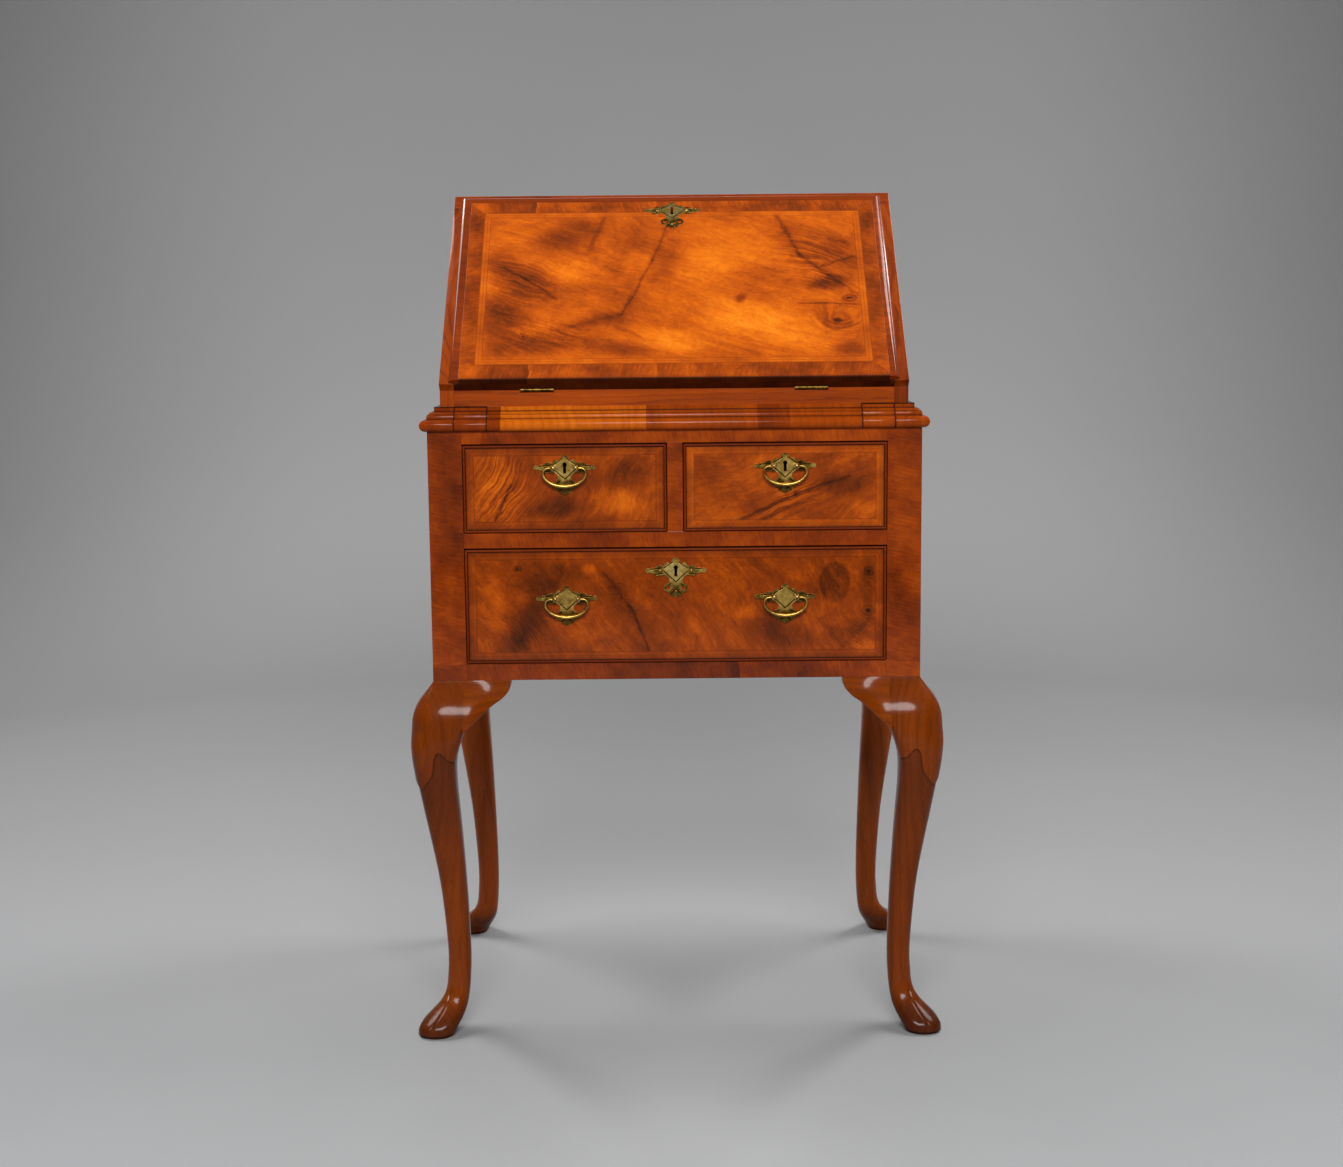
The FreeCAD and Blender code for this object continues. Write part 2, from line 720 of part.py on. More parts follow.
def bead_strip(length):
    """A cock bead along +X from x = 0, with its rounded nose to -Y, its outer edge on z = 0."""
    half = bead_width / 2
    nose = Part.Arc(V(0, 0, -bead_width), V(0, -half, -half), V(0, 0, 0)).toShape()
    tail = bead_let_in + bead_proud - half
    places = [V(0, 0, 0), V(0, tail, 0), V(0, tail, -bead_width), V(0, 0, -bead_width)]
    lines = [Part.makeLine(a, b) for a, b in zip(places, places[1:])]
    strip = Part.Face(Part.Wire([nose] + lines)).extrude(V(length, 0, 0))
    strip = moved(strip, V(0, half - bead_proud, 0))
    strip = trim(strip, V(bead_mitre_gap, 0, 0), V(-1, 0, -1).normalize())
    return trim(strip, V(length - bead_mitre_gap, 0, 0), V(1, 0, -1).normalize())


def bead_frame(width, height):
    """Four mitred strips round a drawer front whose lower left corner is the origin."""
    strips = []
    for length, angle, corner in ((width, 0, V(0, 0, height)), (height, 90, V(width, 0, height)),
                                  (width, 180, V(width, 0, 0)), (height, 270, V(0, 0, 0))):
        strip = bead_strip(length)
        strip.rotate(V(), depthwise, angle)
        strips.append(moved(strip, corner))
    return strips


def lock(top, key):
    """A lock at x = 0 from its top edge down to below the key, y = 0 at its front."""
    half = lock_width / 2
    case = box((-half, half), (0, lock_depth), (key - lock_below_key, top))
    return case.cut(moved(keyhole(lock_depth + overrun), V(0, 0, key)))


def drawer(name, xs, zs, key_spots, handle_spots):
    """All pieces of one drawer. Spots are the post lines (x, z) of its keyed and bare plates."""
    low = V(xs[0] + drawer_side_clearance, front, zs[0] + slide_clearance)
    high = V(xs[1] - drawer_side_clearance, front, zs[1] - drawer_top_clearance)
    face_back = front + drawer_front_thickness
    face = box((low.x, high.x), (front, face_back), (low.z, high.z))
    veneer = box((low.x + bead_width, high.x - bead_width), (front, front + bead_let_in),
                 (low.z + bead_width, high.z - bead_width))
    rebate = box((low.x, high.x), (front, front + bead_let_in), (low.z, high.z)).cut(veneer)
    face = face.cut(rebate)
    key_rise = plate_key_share * plate_width
    lock_front = drawer_front_thickness - lock_let_in
    locks = []
    for x, z in key_spots:
        body = moved(lock(high.z, z + key_rise), V(x, front + lock_front, 0))
        room = box((x - lock_width / 2, x + lock_width / 2), (front + lock_front, face_back),
                   (z + key_rise - lock_below_key, high.z))
        face = face.cut(room)
        face = face.cut(moved(keyhole(lock_front + overrun), V(x, front, z + key_rise)))
        locks.append(body)
    for x, z in handle_spots:
        for hole in at_front(post_hole(post_shank_radius, post_shank_depth), x, z):
            face = face.cut(hole)
    wall_zs = (low.z, high.z - drawer_side_drop)
    walls = drawer_box((low.x, high.x), (face_back, case_inner_back - drawer_back_gap), wall_zs,
                       drawer_side_thickness, drawer_bottom_thickness, drawer_bottom_lift)
    bead = [moved(strip, low) for strip in bead_frame(high.x - low.x, high.z - low.z)]
    return {name + "_front": [face], name + "_box": walls, name + "_bead": bead, name + "_lock": locks}


def drawer_pieces():
    short_z = short_z1 - short_handle_drop
    long_handle_z = long_z1 - long_handle_drop
    long_key_z = long_z1 - long_key_drop
    short_zs = (short_z0, short_z1)
    pieces = {}
    for side, xs in (("left", (-opening_half, -divider_half)), ("right", (divider_half, opening_half))):
        spot = (sum(xs) / 2, short_z)
        pieces.update(drawer(side + "_drawer", xs, short_zs, [spot], [spot]))
        pieces[side + "_drawer_plate"] = at_front(handle_plate(True), *spot)
        pieces[side + "_drawer_bail"] = bail_at(*spot)
    spots = [(-handle_x, long_handle_z), (handle_x, long_handle_z)]
    key_spot = (0, long_key_z)
    pieces.update(drawer("long_drawer", (-opening_half, opening_half), (long_z0, long_z1), [key_spot], spots))
    pieces["long_drawer_plates"] = [shape for spot in spots for shape in at_front(handle_plate(False), *spot)]
    pieces["long_drawer_escutcheon"] = at_front([brass_plate(True)], *key_spot)
    pieces["long_drawer_left_bail"] = bail_at(*spots[0])
    pieces["long_drawer_right_bail"] = bail_at(*spots[1])
    return pieces


def lip_run(length):
    """The fall's lip along +X from x = 0, drawn flat with its outer edge on y = 0 and its face up."""
    width = lip_half - fall_half + lip_let_in
    base = fall_thickness - lip_thickness
    crest = fall_thickness - lip_quirk
    bend = lip_round * math.sqrt(0.5)
    low_round = crest - lip_round
    curve = Part.Arc(V(0, 0, low_round), V(0, bend - lip_round, low_round + bend),
                     V(0, -lip_round, crest)).toShape()
    places = [V(0, -lip_round, crest), V(0, -lip_round, fall_thickness), V(0, -width, fall_thickness),
              V(0, -width, base), V(0, 0, base), V(0, 0, low_round)]
    lines = [Part.makeLine(a, b) for a, b in zip(places, places[1:])]
    return Part.Face(Part.Wire([curve] + lines)).extrude(V(length, 0, 0))


def fall_lipping():
    """The mitred lip on both sides and the top of the fall, drawn flat."""
    corner = V(lip_half, lip_end, 0)
    top = moved(lip_run(2 * lip_half), V(-lip_half, lip_end, 0))
    top = trim(top, corner, V(1, -1, 0).normalize())
    top = trim(top, V(-lip_half, lip_end, 0), V(-1, -1, 0).normalize())
    side = lip_run(lip_end - fall_edge_gap)
    side.rotate(V(), up, -90)
    side = trim(moved(side, corner), corner, V(-1, 1, 0).normalize())
    return [top] + both_sides(side)


def fall_panel(hinge, key):
    """The fall's board, drawn flat, with the rebate for its lip, lock, key and hinges."""
    panel = box((-fall_half, fall_half), (fall_edge_gap, fall_end), (0, fall_thickness))
    face = (fall_thickness - lip_thickness, fall_thickness + overrun)
    middle = (-fall_half + lip_let_in, fall_half - lip_let_in)
    rebate = box((-fall_half - overrun, fall_half + overrun), (-overrun, fall_end + overrun), face)
    rebate = rebate.cut(box(middle, (-overrun, fall_end - lip_let_in), face))
    panel = panel.cut(rebate)
    lock_half = lock_width / 2
    panel = panel.cut(box((-lock_half, lock_half), (key - lock_below_key, fall_end), (0, lock_depth)))
    panel = panel.cut(lying(keyhole(fall_thickness + overrun), key))
    for shape in (hinge["pocket"], hinge["fall_recess"]):
        for cutter in both_sides(moved(shape, V(hinge_centre, 0, 0))):
            panel = panel.cut(cutter)
    return panel


def lying(shape, along):
    """A shape drawn on an upright front, laid on the flat fall's face at a place up the slope."""
    laid = shape.copy()
    laid.rotate(V(), across, -90)
    return moved(laid, V(0, along, fall_thickness))


def fall_pieces(hinge):
    post_line = lip_end - fall_key_drop
    key = post_line + plate_key_share * plate_width
    lock_body = moved(lock(fall_end - key, 0), V(0, fall_thickness - lock_depth, 0))
    return {
        "fall_front": [on_slope(fall_panel(hinge, key))],
        "fall_lipping": [on_slope(strip) for strip in fall_lipping()],
        "fall_escutcheon": [on_slope(lying(brass_plate(True), post_line))],
        "fall_lock": [on_slope(lying(lock_body, key))],
        "hinge_fall_leaves": at_fall_hinge(hinge["fall_leaf"]),
    }


def main():
    os.makedirs("parts", exist_ok=True)
    hinge = hinge_pieces()
    right_loper = loper()
    pieces = case_pieces()
    pieces.update(stand_pieces())
    pieces.update(desk_pieces(hinge))
    pieces.update(nest_pieces())
    pieces.update(fall_pieces(hinge))
    pieces.update(drawer_pieces())
    pieces["right_loper"] = right_loper
    pieces["left_loper"] = [flip(piece, across) for piece in right_loper]
    for node, shapes in pieces.items():
        save(node, shapes)


main()
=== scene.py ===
import math
from functools import partial
import bpy
from mathutils import Matrix, Vector
from mathutils.bvhtree import BVHTree


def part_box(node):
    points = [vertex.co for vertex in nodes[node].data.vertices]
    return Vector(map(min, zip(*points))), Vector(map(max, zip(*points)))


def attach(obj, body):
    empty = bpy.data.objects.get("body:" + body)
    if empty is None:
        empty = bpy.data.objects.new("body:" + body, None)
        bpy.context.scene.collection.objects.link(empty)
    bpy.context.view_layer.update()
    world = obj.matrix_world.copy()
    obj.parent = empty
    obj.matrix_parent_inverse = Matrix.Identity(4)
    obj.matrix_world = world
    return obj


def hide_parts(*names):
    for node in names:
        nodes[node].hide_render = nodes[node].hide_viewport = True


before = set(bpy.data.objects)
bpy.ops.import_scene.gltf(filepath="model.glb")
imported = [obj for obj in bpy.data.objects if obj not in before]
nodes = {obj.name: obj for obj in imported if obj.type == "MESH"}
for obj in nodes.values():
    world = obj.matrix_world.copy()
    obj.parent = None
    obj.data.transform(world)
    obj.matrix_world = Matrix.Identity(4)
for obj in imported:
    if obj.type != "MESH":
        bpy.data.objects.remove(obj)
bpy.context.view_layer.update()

mm = 0.001
root_half = math.sqrt(0.5)


def box_of(node):
    """A node's lowest and highest corner, in millimetres."""
    return tuple(Vector(corner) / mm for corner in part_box(node))


# Places on the desk, in millimetres
case_front = box_of("front_stiles")[0].y
case_half = box_of("front_stiles")[1].x
case_foot = box_of("case_bottom")[0].z
desk_front = box_of("writing_board")[0].y
desk_half = box_of("desk_right_side")[1].x
writing_z = box_of("writing_board")[1].z
loper_low, loper_high = box_of("right_loper")
leg_seam = box_of("front_left_leg")[1].x
back_leg_seam = box_of("back_left_leg")[1].x
fall_thickness = 18.0
handle_x = 128.5
short_post_z = 684.0
long_post_z = 530.0
long_key_z = 562.0
fall_key_along = 284.05
plate_face = 1.5
hinge_centre = 160.0
slope_out = Vector((0, -root_half, root_half))

# The photograph's camera: place in millimetres, pitch, yaw and roll in degrees, lens and width in pixels
camera_place = (-9.9, -2438.3, 855.6)
camera_angles = (7.84, 0.12, 0.53)
lens_pixels = 1928.2
photo_width = 1343
sensor_width = 36.0


def srgb(*levels):
    """A screen colour, 0 to 255, as linear light."""
    return tuple(c / 255 / 12.92 if c <= 10 else ((c / 255 + 0.055) / 1.055) ** 2.4 for c in levels)


# Functions that add shader nodes, each on the tree of the outputs that feed it
def feed(socket, value):
    """Links an output to an input, or sets the input to a plain value."""
    if isinstance(value, bpy.types.NodeSocket):
        socket.id_data.links.new(value, socket)
    else:
        socket.default_value = value


def new_node(tree, kind, **settings):
    made = tree.nodes.new("ShaderNode" + kind)
    for key, value in settings.items():
        setattr(made, key, value)
    return made


def node_from(values, kind, **settings):
    """A node on the tree of the outputs among values, its first inputs fed with them in turn."""
    tree = next(value.id_data for value in values if isinstance(value, bpy.types.NodeSocket))
    made = new_node(tree, kind, **settings)
    for socket, value in zip(made.inputs, values):
        feed(socket, value)
    return made


def calc(operation, *values, clamp=False):
    return node_from(values, "Math", operation=operation, use_clamp=clamp).outputs[0]


plus = partial(calc, "ADD")
less = partial(calc, "SUBTRACT")
times = partial(calc, "MULTIPLY")
most = partial(calc, "MAXIMUM")


def gap(value, edge):
    """How far a value lies from an edge."""
    return calc("ABSOLUTE", less(value, edge))


def total(first, *terms):
    """first plus each (weight, output) pair."""
    for weight, value in terms:
        first = calc("MULTIPLY_ADD", value, weight, first)
    return first


def vector(operation, *values, out=0):
    return node_from(values, "VectorMath", operation=operation).outputs[out]


dot = partial(vector, "DOT_PRODUCT", out="Value")
length_of = partial(vector, "LENGTH", out="Value")


def scaled(place, factor):
    return vector("SCALE", place, (0, 0, 0), (0, 0, 0), factor)


def join(x, y, z=0.0):
    return node_from((x, y, z), "CombineXYZ").outputs[0]


def split(place):
    return node_from((place,), "SeparateXYZ").outputs


def noise(place, scale, detail=2.0, roughness=0.5, distortion=0.0, out="Fac"):
    made = node_from((place,), "TexNoise")
    levels = {"Scale": scale, "Detail": detail, "Roughness": roughness, "Distortion": distortion}
    for key, value in levels.items():
        made.inputs[key].default_value = value
    return made.outputs[out]


def streaks(across, along, scales, detail, roughness=0.5, seed=0.0):
    """Noise with one scale across and another along."""
    spread = join(times(across, scales[0]), times(along, scales[1]), seed)
    return noise(spread, 1.0, detail, roughness)


def chance(value):
    """A random number, 0 to 1, for each whole number."""
    return node_from(((0, 0, 0), value), "TexWhiteNoise", noise_dimensions="1D").outputs["Value"]


def warp(place, scale, amount, detail=2.0):
    """The place pushed about by smooth noise."""
    push = vector("SUBTRACT", noise(place, scale, detail, out="Color"), (0.5, 0.5, 0.5))
    return vector("MULTIPLY_ADD", push, (amount, amount, amount), place)


def blend(value, low, high, start=0.0, end=1.0):
    """A smooth step from start to end as value goes from low to high."""
    numbers = (value, low, high, start, end)
    return node_from(numbers, "MapRange", interpolation_type="SMOOTHSTEP").outputs[0]


def mix(share, a, b):
    """Colour a, or b where share is 1."""
    made = node_from((share,), "Mix", data_type="RGBA", clamp_factor=True)
    for index, value in ((6, a), (7, b)):
        feed(made.inputs[index], (*value, 1) if isinstance(value, tuple) else value)
    return made.outputs[2]


def ramp(value, stops):
    """A colour between stops, each a place on the ramp and a screen colour."""
    made = node_from((value,), "ValToRGB")
    elements = made.color_ramp.elements
    while len(elements) < len(stops):
        elements.new(0.5)
    for element, (place, *levels) in zip(elements, stops):
        element.position = place
        element.color = (*srgb(*levels), 1)
    return made.outputs[0]


def new_material(name, **constants):
    """A material with some inputs of its surface set, and the place on the piece in millimetres."""
    made = bpy.data.materials.new(name)
    made.use_nodes = True
    surface = made.node_tree.nodes["Principled BSDF"]
    for key, value in constants.items():
        surface.inputs[key.replace("_", " ").title().replace("Ior", "IOR")].default_value = value
    return made, scaled(new_node(made.node_tree, "TexCoord").outputs["Object"], 1 / mm)


def normal_at(place):
    return new_node(place.id_data, "TexCoord").outputs["Normal"]


def patchy(place, base, spread):
    """A roughness that varies over the surface."""
    return total(base, (spread, noise(place, 0.03, 3.0)))


def bump(height, distance):
    """Dents the surface by a height, to a depth in millimetres."""
    made = new_node(height.id_data, "Bump")
    made.inputs["Distance"].default_value = distance * mm
    feed(made.inputs["Height"], height)
    feed(height.id_data.nodes["Principled BSDF"].inputs["Normal"], made.outputs[0])


def finished(material, colour, roughness):
    surface = material.node_tree.nodes["Principled BSDF"]
    feed(surface.inputs["Base Color"], colour)
    feed(surface.inputs["Roughness"], roughness)
    return material


# Stops, from dark heartwood to pale figure: place, then red, green and blue
veneer_stops = (
    (0.00, 52, 20, 3), (0.24, 96, 37, 3), (0.44, 146, 58, 4),
    (0.62, 190, 84, 6), (0.80, 222, 112, 12), (1.00, 244, 148, 34),
)
band_stops = (
    (0.00, 40, 13, 2), (0.28, 84, 28, 2), (0.52, 130, 48, 3),
    (0.76, 172, 72, 5), (1.00, 220, 112, 16),
)
leg_stops = (
    (0.00, 36, 13, 3), (0.30, 76, 28, 2), (0.55, 118, 49, 3),
    (0.80, 156, 70, 6), (1.00, 190, 96, 16),
)
bead_stops = ((0.00, 60, 18, 3), (0.50, 112, 38, 5), (1.00, 158, 66, 10))
oak_stops = (
    (0.00, 66, 40, 20), (0.35, 112, 73, 39),
    (0.65, 148, 102, 58), (1.00, 180, 136, 86),
)
brass_stops = (
    (0.05, 52, 36, 14), (0.34, 120, 90, 36),
    (0.62, 196, 160, 78), (0.95, 244, 222, 158),
)
iron_stops = ((0.3, 38, 34, 32), (0.6, 70, 62, 56), (0.8, 92, 62, 42))
leather_stops = ((0.25, 58, 16, 10), (0.55, 96, 32, 18), (0.8, 128, 58, 30))
gilt_stops = ((0.35, 110, 66, 30), (0.6, 214, 170, 84))
# Painted shade in grooves, gaps and along edges, a darker foot on the legs, and the dark lines round the
# dovetails
shade_and_joint_colour = srgb(34, 13, 6)
line_colour = srgb(58, 22, 6)
incised_colour = srgb(20, 14, 6)

# Surfaces, from polished to bare
polish = {"coat_weight": 0.36, "coat_roughness": 0.06, "specular_ior_level": 0.08}
satin = {"coat_weight": 0.24, "coat_roughness": 0.13, "specular_ior_level": 0.05}
worn = {"coat_weight": 0.14, "coat_roughness": 0.12, "specular_ior_level": 0.05}
bare = {"specular_ior_level": 0.05}


def fibres(across, along):
    """Streaks of grain and pores along one direction: (figure 0 to 1, pores 0 to 1)."""
    grain = streaks(across, along, (0.42, 0.045), 3.0, 0.6)
    pore = streaks(across, along, (2.2, 0.14), 1.0, seed=7.0)
    return grain, blend(pore, 0.60, 0.74)


def spot(where, place, radii, turn, soft):
    """1 in the middle of a soft oval, 0 outside it."""
    away = vector("SUBTRACT", where, (*place, 0))
    c, s = math.cos(math.radians(turn)), math.sin(math.radians(turn))
    x = dot(away, (c / radii[0], s / radii[0], 0))
    y = dot(away, (-s / radii[1], c / radii[1], 0))
    return blend(length_of(join(x, y)), 1.0, soft)


def line_reach(where, start, end):
    """How far a place lies from a straight line."""
    run = Vector((*end, 0)) - Vector((*start, 0))
    away = vector("SUBTRACT", where, (*start, 0))
    share = times(dot(away, tuple(run)), 1 / run.length_squared, clamp=True)
    foot = scaled(tuple(run), share)
    return length_of(vector("SUBTRACT", away, foot))


def vein(where, start, end, width, fray):
    """A dark vein: a thin frayed core in a soft shade, 0 to 1."""
    reach = total(line_reach(where, start, end), (width * 0.9, fray))
    core = blend(reach, width * 0.75, width * 0.30)
    return total(times(core, 0.55), (0.45, blend(reach, width * 2.2, 0.0)))


def knot(where, place, radius, fray):
    """A knot's rings round a dark eye, 0 to 1."""
    away = vector("SUBTRACT", where, (*place, 0))
    away = length_of(vector("MULTIPLY", away, (1, 1.15, 0)))
    away = total(away, (radius * 0.35, fray))
    rings = calc("SINE", times(away, 7.0 / radius))
    outer = blend(away, radius * 1.45, radius * 0.75)
    shade = times(outer, total(0.34, (0.12, rings)))
    return most(shade, blend(away, radius * 0.48, radius * 0.20))


def add_shades(where, figure, tone, wisp, lines):
    """A tone with its figure's dark smoke, light glow, ovals and straight stripes."""
    def area(row, soft=0.15):
        x, y, radius_x, radius_y, turn, weight = row
        return weight, spot(where, (x, y), (radius_x, radius_y), turn, soft)

    smoke = total(0.0, *(area(row) for row in figure["smoke"]))
    tone = less(tone, times(smoke, total(0.6, (0.62, wisp))))
    tone = total(tone, *(area(row) for row in figure["glow"]))
    for weight, oval in (area(row, 0.72) for row in figure["ovals"]):
        tone = total(tone, (-weight, oval))
    for weight, patch in (area(row) for row in figure["stripes"]):
        tone = total(tone, (weight, times(lines, patch)))
    return tone


def add_faults(where, figure, tone):
    """A tone with its figure's dark veins and knots."""
    fray = less(times(noise(where, 0.11, 3.0, 0.7), 2.0), 1.0)
    for x0, y0, x1, y1, width, weight in figure["veins"]:
        tone = total(tone, (-weight, vein(where, (x0, y0), (x1, y1), width, fray)))
    for x, y, radius in figure["knots"]:
        tone = total(tone, (-0.46, knot(where, (x, y), radius, fray)))
    return tone


def figure_tone(u, v, figure):
    """The light and dark of a figured sheet, about 0 to 1, and its pores."""
    seed = figure["seed"]
    flat = join(u, v, seed)
    drift = warp(warp(flat, 0.007, 64.0, 1.0), 0.032, 12.0)
    where = warp(warp(flat, 0.035, 9.0, 3.0), 0.16, 3.2)
    where = vector("MULTIPLY", where, (1, 1, 0))
    turn = math.radians(figure["grain"])
    height = dot(drift, (-math.sin(turn), math.cos(turn), 0))
    along = dot(drift, (math.cos(turn), math.sin(turn), 0))
    for x, y, radius in figure["knots"]:
        bulge = spot(where, (x, y), (radius * 2.6, radius * 2.2), 0, 0.0)
        height = total(height, (radius * 1.6, bulge))
    grain, pore = fibres(height, along)
    broad = streaks(height, along, (0.055, 0.006), 4.0, 0.62, seed)
    cloud = noise(drift, 0.0105, 4.0, 0.58, 0.9)
    wisp = blend(streaks(height, along, (0.15, 0.026), 4.0, 0.65, seed + 5), 0.34, 0.66)
    mottle = noise(drift, 0.085, 4.0, 0.6, 0.8)
    fleck = streaks(height, along, (0.42, 0.17), 3.0, 0.7, seed + 9)
    lines = blend(streaks(height, along, (0.34, 0.012), 2.0), 0.38, 0.62)
    tone = total(figure["tone"] - 0.09, (0.15, grain), (0.30, broad), (0.44, cloud), (0.07, wisp),
                 (0.24, mottle), (0.18, fleck))
    tone = add_shades(where, figure, tone, wisp, less(lines, 0.5))
    tone = add_faults(where, figure, tone)
    return total(tone, (-0.13, pore)), pore


def feather_tone(along, across, width, seed):
    """Two narrow strips with opposite slants of grain: (tone, dark line between and beside them)."""
    side = gap(across, width / 2)
    slant = total(along, (1.4, side))
    grain = noise(join(times(slant, 0.55), seed), 1.0, 3.0, 0.7)
    broad = noise(join(times(along, 0.022), seed + 3), 1.0, 3.0, 0.6)
    rim = blend(gap(side, width / 2), 0.9, 0.25)
    line = most(times(blend(side, 0.5, 0.1), 0.5), rim)
    return total(-0.10, (0.30, grain), (0.50, broad)), line


def cross_tone(along, across, length, seed, contrast=0.16):
    """Short lengths of veneer with the grain across the band: tone."""
    wander = noise(join(times(across, 0.05), seed), 1.0, 1.0)
    walk = total(along, (9.0, wander))
    pick = chance(calc("FLOOR", calc("MULTIPLY_ADD", walk, 1 / length, seed)))
    shifted = total(along, (400.0, pick))
    grain, pore = fibres(total(shifted, (0.25, across)), across)
    cloud = streaks(shifted, across, (0.02, 0.022), 4.0, 0.6, seed)
    return total(-0.14, (contrast, pick), (0.36, grain), (0.86, cloud), (-0.12, pore))


def frame_reach(u, v, edges):
    """How far outside a rectangle a place lies, and 1 where the nearest side is an upright."""
    left, right, low, high = edges
    side = less(gap(u, (left + right) / 2), (right - left) / 2)
    rise = less(gap(v, (low + high) / 2), (high - low) / 2)
    return most(side, rise), calc("GREATER_THAN", side, rise)


def bordered(u, v, figure, tone):
    """A sheet's colour with a feather band and, outside that, cross-banding; and the band's lines."""
    width, edge = figure["band_width"], figure["edge"]
    outside, upright = frame_reach(u, v, figure["band"])
    level = less(1.0, upright)
    run = plus(times(u, level), times(v, upright))
    band_tone, line = feather_tone(run, plus(outside, width), width, figure["seed"])
    band_tone = plus(total(band_tone, (0.45, tone)), figure["band_tone"])
    border_tone = cross_tone(run, outside, 150.0, figure["seed"], 0.07)
    border_tone = plus(border_tone, figure["border_tone"])
    in_band = blend(outside, -width - 0.3, -width + 0.3)
    in_border = blend(outside, -0.3, 0.3)
    line = times(line, less(in_band, in_border))
    band = mix(times(line, 0.7), ramp(band_tone, veneer_stops), line_colour)
    colour = mix(in_band, ramp(tone, veneer_stops), band)
    colour = mix(in_border, colour, ramp(border_tone, veneer_stops))
    # Painted shade darkens the sheet toward its outer edges, where it meets the lipping or the bead
    return mix(blend(outside, edge - 7.0, edge, 0.0, 0.42), colour, shade_and_joint_colour), line


def dovetails(u, v, depth, figure, colour):
    """The drawer sides' oak tails, let into the ends of the front."""
    left, right, low, high = figure["band"]
    pitch = (high - low) / figure["tails"]
    half, tail_half = (right - left) / 2, 0.36 * pitch
    end = blend(gap(u, (left + right) / 2), half + 2.4, half + 2.9)
    step = calc("FRACT", calc("MULTIPLY_ADD", v, 1 / pitch, -low / pitch))
    away = total(times(gap(step, 0.5), pitch), (0.18, depth))
    tail = times(blend(away, tail_half + 2.2, tail_half + 1.8), end)
    rim = times(blend(away, tail_half + 2.7, tail_half + 2.3), end)
    oak = ramp(streaks(v, depth, (0.5, 0.06), 3.0), oak_stops)
    return mix(tail, mix(times(rim, 0.7), colour, shade_and_joint_colour), oak)


def panel_veneer(name, coordinates, figure):
    """A figured and bordered veneer on the face, plain banding on the back, a painted shadow at the foot."""
    material, place = new_material(name, **polish)
    u, v, depth = coordinates(place)
    back, foot = figure["back"], figure["foot"]
    tone, pore = figure_tone(u, v, figure)
    colour, line = bordered(u, v, figure, tone)
    behind = ramp(cross_tone(v, u, 260.0, 4.0), band_stops)
    colour = mix(blend(depth, back - 1.0, back), colour, behind)
    # Painted shadow on the sheet's foot, the fall's lower edge that faces down
    colour = mix(blend(v, foot, foot - 0.8, 0.0, 0.8), colour, shade_and_joint_colour)
    if figure["tails"]:
        colour = dovetails(u, v, depth, figure, colour)
    flat = join(u, v, figure["seed"])
    bump(total(noise(flat, 0.05, 2.0), (-0.12, pore), (-0.12, line)), 0.3)
    return finished(material, colour, patchy(flat, 0.18, 0.14))


def front_coordinates(place):
    """Across, up and back from the drawers' faces."""
    x, y, z = split(place)
    return x, z, less(y, case_front)


def fall_coordinates(place):
    """Across, up the slope and in from the closed fall's face."""
    x, y, z = split(vector("SUBTRACT", place, (0, desk_front, writing_z)))
    up = times(plus(y, z), root_half)
    out = times(less(z, y), root_half)
    return x, up, less(fall_thickness, out)


def drawer_figure(node, **marks):
    """A drawer front's veneer, its feather band just inside the bead."""
    low, high = box_of(node)
    bead = 3.5
    plain = {
        "band": (low.x + bead, high.x - bead, low.z + bead, high.z - bead), "band_width": 9.5,
        "border_tone": 0.04, "edge": 1.0, "back": 9.0, "foot": low.z - 0.3, "ovals": (), "knots": (),
    }
    return {**plain, **marks}


# Figures. smoke, glow, ovals and stripes: middle across and up, two radii, turn, weight; veins: two ends,
# width, weight; knots: middle and radius
fall_figure = dict(
    seed=3.1, grain=-24, tone=-0.01, back=9.0, foot=2.4, tails=0,
    band=(-233, 233, 24, 283), band_width=8.5, band_tone=0.04, border_tone=-0.08, edge=24.0,
    smoke=(
        (-125, 244, 70, 34, 26, 0.25), (-176, 160, 90, 40, -40, 0.26), (-202, 106, 50, 54, 0, 0.30),
        (-157, 58, 80, 30, 12, 0.28), (-75, 50, 70, 20, -12, 0.22), (-208, 60, 30, 40, 0, 0.14),
        (188, 156, 40, 18, 14, 0.34), (200, 205, 44, 60, 30, 0.18), (206, 45, 30, 16, 0, 0.20),
        (-90, 94, 70, 18, 12, 0.16), (150, 232, 40, 60, 24, 0.14), (82, 131, 13, 10, 40, 0.26),
        (-55, 240, 44, 50, 20, 0.13), (-8, 200, 26, 70, -14, 0.12), (-60, 130, 60, 40, 50, 0.10),
    ),
    glow=(
        (-124, 178, 54, 36, 14, 0.16), (75, 215, 96, 56, 20, 0.15), (96, 95, 104, 54, -10, 0.27),
        (-6, 62, 80, 32, -12, 0.21), (45, 170, 60, 60, 0, 0.10), (165, 60, 60, 30, 0, 0.14),
        (-195, 240, 44, 34, 0, 0.08),
    ),
    ovals=(),
    stripes=(
        (-185, 165, 66, 56, -40, 0.16), (180, 190, 60, 90, 30, 0.20), (190, 90, 50, 40, 0, 0.16),
        (-150, 70, 70, 40, 0, 0.16),
    ),
    veins=(
        (-9, 258, -24, 196, 2.4, 0.17), (-24, 196, -62, 104, 2.8, 0.18), (-85, 274, -102, 214, 6.0, 0.14),
        (-204, 186, -140, 131, 2.4, 0.16), (-66, 82, -26, 60, 3.0, 0.12), (-62, 104, -126, 84, 5.0, 0.10),
        (129, 276, 156, 205, 3.5, 0.17), (156, 205, 187, 168, 4.0, 0.18), (187, 168, 221, 137, 3.0, 0.17),
        (180, 184, 222, 200, 2.5, 0.16), (148, 120, 222, 119, 1.1, 0.26), (170, 236, 212, 226, 2.5, 0.12),
    ),
    knots=((195, 90, 15), (-178, 70, 5), (212, 130, 7)),
)
